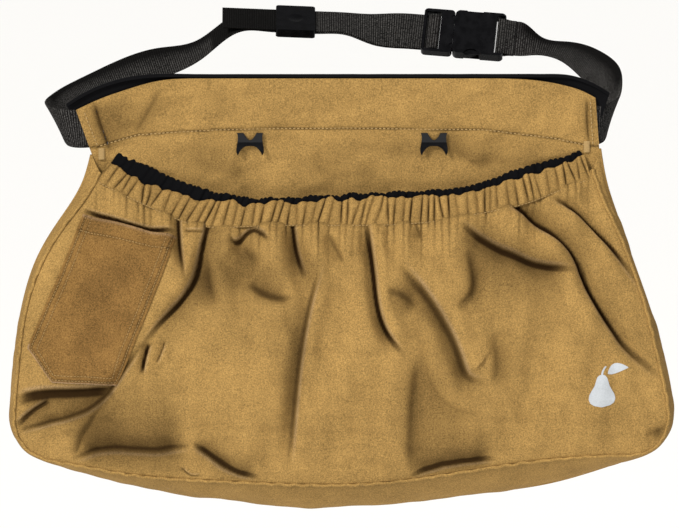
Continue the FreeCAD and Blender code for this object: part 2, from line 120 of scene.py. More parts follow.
FOLDS = [
    # under the gathered mouth, left half
    fold([(-155, -95), (-153, -128), (-149, -156)], 6, 2.4, 2.5, 1.0, 0.2, 8, fade="end"),
    fold([(-127, -104), (-134, -128), (-144, -158), (-173, -193), (-194, -220)], 7, 2.8, 4, 0.95, 0.4, 18,
         True, "end"),
    fold([(-150, -113), (-130, -115)], 3, 1.8, 1, 0.7),
    fold([(-107, -115), (-103, -121), (-89, -112), (-68, -123)], 3.5, 2.0, 1.5, 0.9, 0.3, 8),
    fold([(-46, -108), (-42, -129), (-34, -152)], 6, 2.6, 3, 1.0, 0.35, 10, fade="end"),
    fold([(-130, -130), (-126, -156), (-119, -181)], 4, 8, 0, 0, 0.6, 12),
    fold([(-101, -119), (-76, -141)], 4, 9, 0, 0, 0.55, 14),
    fold([(-91, -155), (-71, -168), (-47, -172)], 5, 5, 2.5, 0.6, 0.5, 14, True),
    fold([(-13, -114), (3, -139)], 3, 3, 1.5, 0.5, 0.25, 8),
    fold([(-138, -122), (-112, -142), (-82, -150), (-48, -146)], 3, 14, 0, 0, 0.32, 34),
    fold([(-48, -110), (-30, -140), (-14, -165)], 3, 8, 0, 0, 0.3, 20),
    # beside and below the pocket
    fold([(-249, -95), (-225, -101), (-202, -107), (-155, -114)], 3, 2.2, 0, 1.0, 0.3, 5),
    fold([(-182, -212), (-186, -226), (-189, -242)], 7, 2.8, 2, 1.0),
    fold([(-167, -209), (-171, -221), (-176, -232)], 3, 1.6, 1.5, 0.8),
    fold([(-188, -212), (-210, -245), (-222, -262), (-243, -280), (-291, -296), (-313, -303)], 5, 3.0, 3,
         0.75, 0.35, 14),
    fold([(-314, -272), (-290, -264), (-262, -262), (-213, -257)], 7, 6.0, 0, 0.9, 0.6, 15),
    fold([(-313, -298), (-299, -284), (-276, -268)], 5, 3.0, 3, 0.85, 0.4, 10),
    fold([(-257, -329), (-237, -321), (-181, -317), (-142, -312)], 6, 4.0, 2, 0.8, 0.6, 42, True),
    fold([(-143, -309), (-109, -334), (-79, -344)], 5, 3.2, 3, 0.9, 0.5, 16, True),
    fold([(-153, -332), (-144, -341), (-134, -341)], 2.5, 1.6, 1, 0.8),
    fold([(-255, -328), (-251, -311), (-214, -259)], 3, 2.0, 2.5, 0.45, 0.35, 26),
    # down the middle
    fold([(-18, -136), (-29, -172), (-41, -238), (-45, -279), (-50, -332)], 6, 3.6, 4, 0.65, 0.5, 16),
    fold([(22, -99), (28, -126), (32, -154), (36, -180), (44, -200), (60, -221)], 12, 3.4, 5, 1.0, 0.2, 10),
    fold([(72, -222), (67, -263), (65, -307), (66, -341)], 5, 7, 3, 0.15, 0.4, 26, True),
    fold([(63, -343), (94, -332), (147, -326)], 5, 3, 2, 0.9, 0.55, 28, True),
    # right half
    fold([(56, -141), (82, -168), (99, -194), (114, -229), (120, -242), (139, -247)], 9, 5, 5, 0.7, 0.55,
         16),
    fold([(42, -162), (57, -165), (75, -178)], 4, 5, 2, 0.45, 0.55, 14),
    fold([(118, -126), (121, -166), (107, -178)], 5, 5, 2, 0.4, 0.45, 12, True),
    fold([(145, -196), (147, -228), (145, -258)], 5, 9, 0, 0, 0.42, 15, True),
    fold([(75, -181), (78, -221), (90, -259), (116, -278), (141, -273)], 3.5, 7, 4, 0, 0.25, 14),
    fold([(112, -105), (137, -120), (169, -134), (201, -144), (220, -147)], 8, 3.2, 4, 0.95, 0.55, 30),
    fold([(163, -92), (179, -103), (218, -135), (232, -164), (254, -201), (270, -223), (290, -241),
          (313, -260)], 11, 3.6, 5, 1.0, 0.3, 15, True, "end"),
    fold([(196, -82), (230, -105), (256, -131), (277, -158), (293, -181)], 9, 2.6, 4, 1.0, 0.1, 8,
         True),
    fold([(288, -306), (306, -299), (320, -289)], 5, 8, 0, 0, 0.7, 12),
    fold([(70, -104), (78, -122)], 4, 2.6, 2, 0.6, 0.2, 8, fade="end"),
]


# ------------------------------------------------------------------ curves and cloth surfaces
def lengths(path):
    """How far along a path each of its points lies."""
    return np.concatenate([[0], np.cumsum(np.linalg.norm(np.diff(path, axis=0), axis=1))])


def length_shares(path):
    """The same, as shares of the whole length."""
    run = lengths(path)
    return run / run[-1]


def spline(points):
    """Smooth curve through points, as a function of the share of its length."""
    p = np.array(points, float)
    knots = length_shares(p)
    gap = np.diff(knots)
    count = len(p)
    matrix = np.zeros((count, count))
    right = np.zeros((count, p.shape[1]))
    matrix[0, 0] = matrix[-1, -1] = 1
    for i in range(1, count - 1):
        matrix[i, i - 1:i + 2] = gap[i - 1], 2 * (gap[i - 1] + gap[i]), gap[i]
        right[i] = 6 * ((p[i + 1] - p[i]) / gap[i] - (p[i] - p[i - 1]) / gap[i - 1])
    bend = np.linalg.solve(matrix, right)

    def value(share):
        share = np.clip(np.asarray(share, float), 0, 1)
        i = np.clip(np.searchsorted(knots, share, side="right") - 1, 0, count - 2)
        width = gap[i][..., None]
        one = (knots[i + 1] - share)[..., None] / width
        two = (share - knots[i])[..., None] / width
        curved = ((one ** 3 - one) * bend[i] + (two ** 3 - two) * bend[i + 1]) * width ** 2 / 6
        return one * p[i] + two * p[i + 1] + curved

    return value


def chain(*parts):
    """Points along several curves or point lists joined end to end, as a function of the share."""
    p = np.concatenate([part(np.linspace(0, 1, 160)) if callable(part) else np.array(part, float)
                        for part in parts])
    step = np.linalg.norm(np.diff(p, axis=0), axis=1)
    p = p[np.concatenate([[True], step > 1e-6])]
    knots = length_shares(p)
    return lambda share: np.stack([np.interp(share, knots, p[:, k]) for k in range(p.shape[1])], -1)


def unit(vectors):
    """The vectors at a length of one."""
    return vectors / np.maximum(np.linalg.norm(vectors, axis=-1, keepdims=True), 1e-12)


def smooth(t):
    """Soft step from 0 to 1."""
    t = np.clip(t, 0, 1)
    return t * t * (3 - 2 * t)


def grid(across, down):
    """Two grids of shares from 0 to 1, across and down."""
    return np.meshgrid(np.linspace(0, 1, across), np.linspace(0, 1, down), indexing="ij")


def grid_normals(points):
    """Normals of a grid of points."""
    return unit(np.cross(np.gradient(points, axis=0), np.gradient(points, axis=1)))


def toward_front(count):
    """The way to the front, once for each of so many points."""
    return np.tile([0, -1.0, 0], (count, 1))


def ripples(x, z, wave, seed, lean=0.35, drawn=3.0, count=9):
    """Soft random waves in the cloth, about one high, drawn out along z."""
    rng = np.random.default_rng(seed)
    total = np.zeros_like(x)
    warped = x + 0.22 * wave * np.sin(z / (1.9 * wave) + seed)
    for _ in range(count):
        angle = rng.normal(0, lean)
        rate = 2 * math.pi / (wave * rng.uniform(0.7, 1.7))
        phase = rng.uniform(0, 2 * math.pi)
        total += np.sin(rate * (math.cos(angle) * warped + math.sin(angle) * z
                                + z / drawn * rng.normal(0, 0.5)) + phase)
    return total / math.sqrt(count / 2)


# ------------------------------------------------------------------ gathers of the mouth
draw = np.random.default_rng(11)
VALLEYS = [-240.0]
while VALLEYS[-1] < 246:
    VALLEYS.append(VALLEYS[-1] + draw.uniform(5.6, 10.8))
VALLEYS = np.array(VALLEYS)
PUFFS = draw.uniform(0.4, 1.0, len(VALLEYS))
LEANS = draw.normal(0, 2.4, len(VALLEYS))
# how dark each gather's painted shade is near the mouth and near the seam, and how far it reaches down the
# front
HIGH_DARK = draw.uniform(0.1, 1.0, len(VALLEYS))
LOW_DARK = draw.uniform(0.25, 1.0, len(VALLEYS))
REACH = draw.uniform(4, 24, len(VALLEYS)) ** 1.1


def gathers(x, down=0.0):
    """Height, 0 to 1, of the puffs between the gathers, how near a gather's fold is, and which."""
    lean = np.interp(x, VALLEYS, LEANS)
    x = x + lean * down
    k = np.clip(np.searchsorted(VALLEYS, x) - 1, 0, len(VALLEYS) - 2)
    share = (x - VALLEYS[k]) / (VALLEYS[k + 1] - VALLEYS[k])
    share = np.clip(share, 0, 1)
    puff = PUFFS[k] * np.sin(np.pi * share) ** 0.6
    near = np.minimum(share, 1 - share) * (VALLEYS[k + 1] - VALLEYS[k])
    return puff, np.exp(-(near / 1.05) ** 2), np.where(share > 0.5, k + 1, k)


# ------------------------------------------------------------------ the front panel's surface
def stretch(points, first, last):
    """The part of a smooth curve between two of its points, first to last, either way round."""
    whole = spline(points)
    knots = length_shares(np.array(points, float))
    return lambda share: whole(knots[first] + (knots[last] - knots[first]) * np.asarray(share, float))


LEFT_CORNER, RIGHT_CORNER, LAST = 8, 17, len(FRONT_EDGE) - 1  # the same corners on both edges
front_top = spline([FRONT_EDGE[0]] + [(x, y + 0.4, z + 3.0) for x, y, z in CASING_SEAM[1:-1]]
                   + [FRONT_EDGE[LAST]])
front_bottom = stretch(FRONT_EDGE, LEFT_CORNER, RIGHT_CORNER)
front_left = stretch(FRONT_EDGE, 0, LEFT_CORNER)
front_right = stretch(FRONT_EDGE, LAST, RIGHT_CORNER)
BELLY = 25.0


def front_base(a, b):
    """The front panel's smooth shape: a runs left to right, b from the mouth down."""
    top, bottom = front_top(a), front_bottom(a)
    left, right = front_left(b), front_right(b)
    a, b = a[..., None], b[..., None]
    ends = [edge(np.array(t)) for edge in (front_top, front_bottom) for t in (0, 1)]
    corners = (ends[0] * (1 - a) + ends[1] * a) * (1 - b) + (ends[2] * (1 - a) + ends[3] * a) * b
    spot = top * (1 - b) + bottom * b + left * (1 - a) + right * a - corners
    swell = BELLY * np.sin(np.pi * a) ** 0.75 * np.sin(np.pi * b) ** 0.85
    return spot - swell * np.array([0, 1, 0])


def front_outward(a, b):
    """Outward normals of the front panel's smooth shape."""
    step = 0.003
    low_a, high_a = np.clip(a - step, 0, 1), np.clip(a + step, 0, 1)
    low_b, high_b = np.clip(b - step, 0, 1), np.clip(b + step, 0, 1)
    along = front_base(high_a, b) - front_base(low_a, b)
    down = front_base(a, high_b) - front_base(a, low_b)
    return -unit(np.cross(along, down))


def beside(x, z, line):
    """Signed distance to a line in (x, z), plus to its right, the share along it, and its side way."""
    curve = spline(line)(np.linspace(0, 1, 50))
    start, run = curve[:-1], np.diff(curve, axis=0)
    best = np.full(x.shape, 1e9)
    signed = np.zeros(x.shape)
    share = np.zeros(x.shape)
    way = np.zeros(x.shape + (2,))
    for k in range(len(run)):
        size = run[k] @ run[k]
        dx, dz = x - start[k, 0], z - start[k, 1]
        t = np.clip((dx * run[k, 0] + dz * run[k, 1]) / size, 0, 1)
        ox, oz = dx - t * run[k, 0], dz - t * run[k, 1]
        gap = np.hypot(ox, oz)
        side = np.sign(run[k, 1] * dx - run[k, 0] * dz)
        closer = gap < best
        best = np.where(closer, gap, best)
        signed = np.where(closer, side * gap, signed)
        share = np.where(closer, (k + t) / len(run), share)
        right = np.array([run[k, 1], -run[k, 0]]) / math.sqrt(size)
        way = np.where(closer[..., None], right, way)
    return signed, share, way


def front_folds(x, z, b):
    """Height of pleats and folds, their sideways overhang in (x, z), and the painted shade of the creases
    and the painted highlight along the lips.
    """
    height = np.zeros(x.shape)
    painted_shade = np.zeros(x.shape)
    painted_highlight = np.zeros(x.shape)
    shift = np.zeros(x.shape + (2,))
    for one in FOLDS:
        gap, share, way = beside(x, z, one["line"])
        if one["flip"]:
            gap, way = -gap, -way
        wide = one["width"]
        if one["fade"] == "end":
            fade = smooth((1 - share) / 0.45) * smooth(share / 0.03 + 0.5)
        else:
            fade = smooth(np.minimum(share, 1 - share) / 0.22 + 0.02)
        ahead = np.where(gap > 0.3 * wide, 2.3 * wide, 0.75 * wide)
        groove = np.exp(-((gap - 0.3 * wide) / ahead) ** 2)
        lip = np.exp(-((gap + 2.6 * wide) / (2.2 * wide)) ** 2)
        height += fade * (one["lip"] * lip - one["depth"] * groove)
        if one["lip"]:
            over = np.exp(-((gap + 0.9 * wide) / (1.0 * wide)) ** 2)
            shift += (fade * over * 0.13 * one["depth"])[..., None] * way
        # painted shade: a dark line along the fold's groove
        full = 2.6 if one["dark"] > 0.8 else 1.1
        line = np.minimum(full * np.exp(-((gap - 0.4 * wide) / (0.6 * wide)) ** 2), 1)
        painted_shade = np.maximum(painted_shade, one["dark"] * fade ** 0.5 * line)
        # painted shade: a soft patch beside the fold, wider on its shaded side
        far = np.where(gap > 0, 1.0, 0.3) * one["spread"]
        gentle = smooth(np.minimum(share, 1 - share) / 0.45 + 0.05) if one["dark"] < 0.7 else fade
        soft = 1.2 * one["side_shade"] * gentle * np.exp(-(np.abs(gap) / far) ** 1.5)
        painted_shade = painted_shade + soft * (1 - painted_shade)
        # painted highlight along the lip of a dark fold
        if one["dark"] > 0.6:
            painted_highlight = np.maximum(painted_highlight, 0.5 * fade * np.exp(-((gap + 0.8 * wide) / (0.35 * wide)) ** 2))
    below = b * PANEL_DROP
    puff, near, which = gathers(x, 2 * b)
    height += 3.6 * (puff - 0.35) * np.exp(-below / 15) + 1.6 * np.exp(-((below - 8) / 9) ** 2)
    # painted shade in the gathers' valleys, reaching down the front
    painted_shade = np.maximum(painted_shade, 1.15 * LOW_DARK[which] * near * np.exp(-below / REACH[which]))
    # painted shade in a band just under the hem's seam
    painted_shade = np.maximum(painted_shade, 0.4 * np.exp(-(below / 2.5) ** 2))
    height += 2.6 * ripples(x, z, 34, 3, lean=0.12, drawn=9) * np.exp(-b / 0.28)
    height += 1.6 * ripples(x, z, 70, 5)
    height += 0.55 * ripples(x, z, 23, 8, lean=0.9, drawn=1.6) * (1 - 0.5 * np.exp(-b / 0.1))
    return height, shift, np.clip(painted_shade, 0, 1), painted_highlight


def front_surface(a, b):
    """Outer face of the front panel, its outward normals, and its painted shade and painted highlight."""
    base, outward = front_base(a, b), front_outward(a, b)
    x, z = base[..., 0], base[..., 2]
    height, shift, painted_shade, painted_highlight = front_folds(x, z, b)
    rim = np.minimum(np.minimum(a, 1 - a) * PANEL_SPAN, (1 - b) * PANEL_DROP)
    hold = smooth(rim / 22.0) * (0.5 + 0.5 * smooth(b * PANEL_DROP / 12))
    spot = base + outward * (height * hold)[..., None]
    spot[..., 0] += shift[..., 0] * hold
    spot[..., 2] += shift[..., 1] * hold
    shown = 0.35 + 0.65 * smooth(rim / 10.0)
    return spot, outward, painted_shade * shown, painted_highlight * shown


def front_shares(x, z):
    """The (a, b) of the front panel's smooth shape at a place (x, z)."""
    ga, gb = grid(90, 50)
    coarse = front_base(ga, gb)[..., (0, 2)].reshape(-1, 2)
    spots = np.stack([x.ravel(), z.ravel()], -1)
    nearest = np.concatenate([np.argmin(((part[:, None] - coarse[None]) ** 2).sum(-1), 1)
                              for part in np.array_split(spots, max(1, len(spots) // 800))])
    a, b = ga.ravel()[nearest], gb.ravel()[nearest]
    step = 1e-4
    for _ in range(6):
        here = front_base(a, b)[:, (0, 2)]
        by_a = (front_base(np.clip(a + step, 0, 1), b)[:, (0, 2)] - here) / step
        by_b = (front_base(a, np.clip(b + step, 0, 1))[:, (0, 2)] - here) / step
        miss = spots - here
        size = by_a[:, 0] * by_b[:, 1] - by_a[:, 1] * by_b[:, 0]
        size = np.where(np.abs(size) < 1e-6, 1e-6, size)
        a = np.clip(a + (miss[:, 0] * by_b[:, 1] - miss[:, 1] * by_b[:, 0]) / size, 0.001, 0.999 - step)
        b = np.clip(b + (by_a[:, 0] * miss[:, 1] - by_a[:, 1] * miss[:, 0]) / size, 0.001, 0.999 - step)
    return a.reshape(x.shape), b.reshape(x.shape)


def on_front(x, z, lift=0.0):
    """Points a given height above the front panel at places (x, z)."""
    a, b = front_shares(x, z)
    spot, outward, _, _ = front_surface(a, b)
    return spot + outward * np.asarray(lift)[..., None], outward


# ------------------------------------------------------------------ back panel and gusset surfaces
def band_wrinkles(x, z):
    """How far the waistband and back panel stand out toward the front."""
    low = np.interp(x, [-238, -150, 0, 100, 238], [-41, -24, -13, -16, -38])
    inside = smooth((z - low + 3) / 4) * smooth((low + WEB_WIDTH + 2 - z) / 4)
    height = 0.9 * inside
    gap, share, _ = beside(x, z, [(-170, 20), (-186, -8), (-199, -32)])
    height -= 1.3 * np.exp(-(gap / 4) ** 2) * np.sin(np.pi * share) ** 0.5
    for line, depth, wide in (([(-236, 6), (-230, -18), (-219, -46)], 2.4, 2.0),
                              ([(232, 12), (234, -12), (236, -40)], 1.2, 1.6)):
        gap, _, _ = beside(x, z, line)
        height -= depth * np.exp(-(gap / wide) ** 2)
    stitched = stitch_height(x)
    height -= 0.9 * np.exp(-((z - stitched) / 1.4) ** 2)
    height += 0.55 * ripples(x, z, 62, 21, lean=0.9, drawn=2)
    height += 0.25 * ripples(x, z, 21, 22, lean=1.2, drawn=1.5)
    below = smooth((stitched - 6 - z) / 60)
    height += below * 2.2 * ripples(x, z, 55, 24, lean=0.2, drawn=6)
    return height


# painted shade along the back panel's creases: line, darkness, width, and the darkness and width of the
# softer painted shade beside it
BACK_CREASES = [
    ([(-236, 6), (-230, -18), (-219, -46)], 0.85, 1.5, 0.5, 22),
    ([(-172, 18), (-186, -8), (-199, -30)], 0.3, 2.0, 0.3, 12),
    ([(-222, 4), (-212, -14), (-207, -30)], 0.1, 4, 0.2, 16),
    ([(233, 10), (233, -12), (235, -38)], 0.7, 1.2, 0.3, 14),
    ([(-120, 22), (-116, 0), (-118, -16)], 0.0, 3, 0.14, 10),
    ([(60, 22), (66, 2), (62, -14)], 0.0, 3, 0.12, 12),
    ([(-150, -44), (-120, -60), (-88, -66)], 0.0, 5, 0.3, 18),
    ([(10, -34), (60, -44), (120, -40)], 0.0, 5, 0.22, 14),
    ([(88, -26), (112, -46), (146, -64)], 0.0, 5, 0.42, 13),
    ([(120, -50), (165, -54), (200, -50)], 0.0, 5, 0.28, 16),
    ([(-40, -52), (-10, -66), (40, -62)], 0.0, 5, 0.22, 16),
]


def stitch_height(x):
    """The height of the stitched line under the waistband."""
    return np.interp(x, [-233, -210, -193, -120, 0, 140, 200, 234],
                     [-40, -32.5, -28, -23, -21.5, -23.5, -31, -39])


def on_band(x, z):
    """Points just in front of the waistband's cloth."""
    return np.stack([x, PANEL_FRONT - band_wrinkles(x, z) - 0.05, z], -1)


back_top = chain(spline(WAIST_LEFT), spline(WAIST_RIGHT))
back_left = chain([WAIST_LEFT[0], BACK_EDGE[0]], spline(BACK_EDGE[:LEFT_CORNER + 1]))
back_right = chain([WAIST_RIGHT[-1], BACK_EDGE[-1]], spline(BACK_EDGE[RIGHT_CORNER:][::-1]))
back_bottom = spline(BACK_EDGE[LEFT_CORNER:RIGHT_CORNER + 1])


def back_flat(a, b):
    """The back panel's flat outline in (x, z): a runs left to right, b from the top down."""
    top, bottom, left, right = back_top(a), back_bottom(a), back_left(b), back_right(b)
    a, b = a[..., None], b[..., None]
    ends = [np.array(p, float) for p in (WAIST_LEFT[0], WAIST_RIGHT[-1], BACK_EDGE[LEFT_CORNER],
                                         BACK_EDGE[RIGHT_CORNER])]
    corners = (ends[0] * (1 - a) + ends[1] * a) * (1 - b) + (ends[2] * (1 - a) + ends[3] * a) * b
    return top * (1 - b) + bottom * b + left * (1 - a) + right * a - corners


back_rim = spline([(x * 0.997, PANEL_FRONT - 0.4, z + (1.2 if z < -300 else 0)) for x, z in BACK_EDGE])
front_rim = spline([(x * 0.998, y + 0.8, z) for x, y, z in FRONT_EDGE])


def gusset_surface(a, b):
    """Outer face of the strip round the sides and bottom: a runs round, b from back to front."""
    back, ahead = back_rim(a), front_rim(a)
    way = back_rim(np.clip(a + 0.01, 0, 1)) - back_rim(np.clip(a - 0.01, 0, 1))
    outward = unit(np.cross(way, np.array([0, -1.0, 0])))
    swell = (2.5 + 9.5 * np.sin(np.pi * a) ** 4) * 4 * b * (1 - b)
    swell = swell * np.minimum(1, np.minimum(12 * a, 12 * (1 - a)) + 0.1)
    run, deep = a * GUSSET_RUN, b * GUSSET_DEEP
    wrinkle = 0.5 * ripples(run, deep, 120, 31, lean=0.3, drawn=4)
    wrinkle += 0.35 * ripples(run, deep, 30, 32, lean=0.9, drawn=2)
    swell = swell + wrinkle * np.sin(np.pi * b) ** 0.7 * smooth(np.minimum(a, 1 - a) * 18)
    return back * (1 - b)[..., None] + ahead * b[..., None] + outward * (swell + CANVAS)[..., None]


# ------------------------------------------------------------------ meshes
def make_object(name, points, faces, sharp=50):
    """Smooth object from points in mm and faces, its edges sharp above an angle in degrees."""
    mesh = bpy.data.meshes.new(name)
    mesh.from_pydata((np.asarray(points) * MM).tolist(), [], [list(map(int, f)) for f in faces])
    mesh.validate()
    mesh.shade_smooth()
    mesh.set_sharp_from_angle(angle=math.radians(sharp))
    thing = bpy.data.objects.new(name, mesh)
    bpy.context.scene.collection.objects.link(thing)
    return thing


def give(thing, name, values):
    """One value for each point of the mesh, for the material to read."""
    attribute = thing.data.attributes.new(name, "FLOAT", "POINT")
    attribute.data.foreach_set("value", np.asarray(values, np.float32).ravel())


def quads(rows, columns, offset=0, flip=False):
    """Faces of a grid of points that starts at an offset."""
    i, j = np.meshgrid(np.arange(rows - 1), np.arange(columns - 1), indexing="ij")
    first = (i * columns + j + offset).ravel()
    corners = np.stack([first, first + columns, first + columns + 1, first + 1], -1)
    return corners[:, ::-1] if flip else corners


def make_sheet(name, outer, inner, shade=None, painted_highlight=None):
    """Closed sheet of cloth between two grids of points."""
    rows, columns = outer.shape[:2]
    size = rows * columns
    facing = np.cross(np.gradient(outer, axis=0), np.gradient(outer, axis=1))
    flip = float((facing * (outer - inner)).sum()) < 0
    faces = [quads(rows, columns, 0, flip), quads(rows, columns, size, not flip)]
    index = np.arange(size).reshape(rows, columns)
    rims = [(index[:, 0], False), (index[-1], False), (index[:, -1], True), (index[0], True)]
    for line, turned in rims:
        strip = np.stack([line[:-1], line[:-1] + size, line[1:] + size, line[1:]], -1)
        faces.append(strip[:, ::-1] if turned != flip else strip)
    points = np.concatenate([outer.reshape(-1, 3), inner.reshape(-1, 3)])
    thing = make_object(name, points, np.concatenate(faces))
    # painted shade, full on the outer face and weaker on the inner one
    if shade is not None:
        give(thing, "painted_shade", np.concatenate([shade.ravel(), shade.ravel() * 0.4]))
    # painted highlight on the outer face only
    if painted_highlight is not None:
        give(thing, "painted_highlight", np.concatenate([painted_highlight.ravel(), np.zeros(size)]))
    return thing


def make_tube(name, rings, shade=None, sharp=60):
    """Closed tube through rings of points, its ends filled."""
    count, round_ = rings.shape[:2]
    i, j = np.meshgrid(np.arange(count - 1), np.arange(round_), indexing="ij")
    after = (j + 1) % round_
    faces = np.stack([i * round_ + j, i * round_ + after, (i + 1) * round_ + after,
                      (i + 1) * round_ + j], -1).reshape(-1, 4).tolist()
    faces.append(list(range(round_))[::-1])
    faces.append(list(range((count - 1) * round_, count * round_)))
    middle = rings[count // 2].mean(0)
    spot = rings[count // 2]
    along = rings[min(count // 2 + 1, count - 1)].mean(0) - middle
    turn = np.cross(spot[0] - middle, spot[1] - middle) @ along
    if turn < 0:
        faces = [face[::-1] for face in faces]
    thing = make_object(name, rings.reshape(-1, 3), faces, sharp)
    if shade is not None:
        give(thing, "painted_shade", shade)
    return thing


def cord_rings(path, normals, radius, sides=8, flat=1.0):
    """Rings round a path; flat squeezes them along the normals."""
    way = unit(np.gradient(path, axis=0))
    side = unit(np.cross(way, normals))
    up = np.cross(side, way)
    turn = np.linspace(0, 2 * math.pi, sides, endpoint=False)
    return (path[:, None] + radius * (np.cos(turn)[None, :, None] * side[:, None]
                                      + flat * np.sin(turn)[None, :, None] * up[:, None]))


def make_stitches(name, rows, length=2.7, gap=1.0, radius=0.3):
    """Lines of sewn thread. Each row is points on the cloth and the cloth's outward normals."""
    points, faces = [], []
    shares = np.array([0, 0.14, 0.5, 0.86, 1.0])
    sizes = np.array([0.4, 0.9, 1.0, 0.9, 0.4])
    sinks = np.array([-0.75, 0.1, 0.45, 0.1, -0.75]) * radius
    sides, last = 6, len(shares) - 1
    turn = np.linspace(0, 2 * math.pi, sides, endpoint=False)
    for path, normals in rows:
        knots = lengths(path)
        count = int(knots[-1] // (length + gap))
        for k in range(count):
            at = (k + 0.15) * (length + gap) + shares * length
            spot = np.stack([np.interp(at, knots, path[:, m]) for m in range(3)], -1)
            up = unit(np.stack([np.interp(at, knots, normals[:, m]) for m in range(3)], -1))
            way = unit(np.gradient(spot, axis=0))
            side = np.cross(way, up)
            spot = spot + up * sinks[:, None]
            ring = (spot[:, None] + (radius * sizes)[:, None, None]
                    * (np.cos(turn)[None, :, None] * side[:, None]
                       + np.sin(turn)[None, :, None] * up[:, None]))
            start = len(points) * len(shares) * sides
            points.append(ring.reshape(-1, 3))
            for i in range(last):
                for j in range(sides):
                    n = (j + 1) % sides
                    here = start + i * sides
                    faces.append([here + j, here + n, here + sides + n, here + sides + j])
            faces.append([start + j for j in reversed(range(sides))])
            faces.append([start + last * sides + j for j in range(sides)])
    thing = make_object(name, np.concatenate(points), faces)
    mesh = thing.data
    if sum(p.area * p.normal.dot(p.center) for p in mesh.polygons) < 0:
        mesh.flip_normals()
    return thing


def resample(path, step):
    """The same path with its points about a step apart."""
    knots = lengths(path)
    count = max(2, int(knots[-1] / step))
    at = np.linspace(0, knots[-1], count)
    return np.stack([np.interp(at, knots, path[:, m]) for m in range(path.shape[1])], -1)


# ------------------------------------------------------------------ materials
def new_material(name):
    """A material with its tree and shader, or the one of that name and twice nothing."""
    old = bpy.data.materials.get(name)
    if old:
        return old, None, None
    made = bpy.data.materials.new(name)
    made.use_nodes = True
    nodes = made.node_tree.nodes
    shader = nodes["Principled BSDF"]
    return made, made.node_tree, shader


def fill(node, values):
    """Sets the named inputs of a node."""
    for name, value in values.items():
        node.inputs[name].default_value = value


def new_group(name, inputs):
    """A shared group with these inputs, for a colour, a height and a roughness."""
    group = bpy.data.node_groups.new(name, "ShaderNodeTree")
    for title, kind, value in inputs:
        socket = group.interface.new_socket(title, in_out="INPUT", socket_type=kind)
        socket.default_value = value
    for title, kind in (("Colour", "NodeSocketColor"), ("Height", "NodeSocketFloat"),
                        ("Roughness", "NodeSocketFloat")):
        group.interface.new_socket(title, in_out="OUTPUT", socket_type=kind)
    return group


def add_bump(tree, shader, height, strength, distance):
    """Raises the surface by a height."""
    raised = tree.nodes.new("ShaderNodeBump")
    fill(raised, {"Strength": strength, "Distance": distance})
    tree.links.new(height, raised.inputs["Height"])
    tree.links.new(raised.outputs["Normal"], shader.inputs["Normal"])


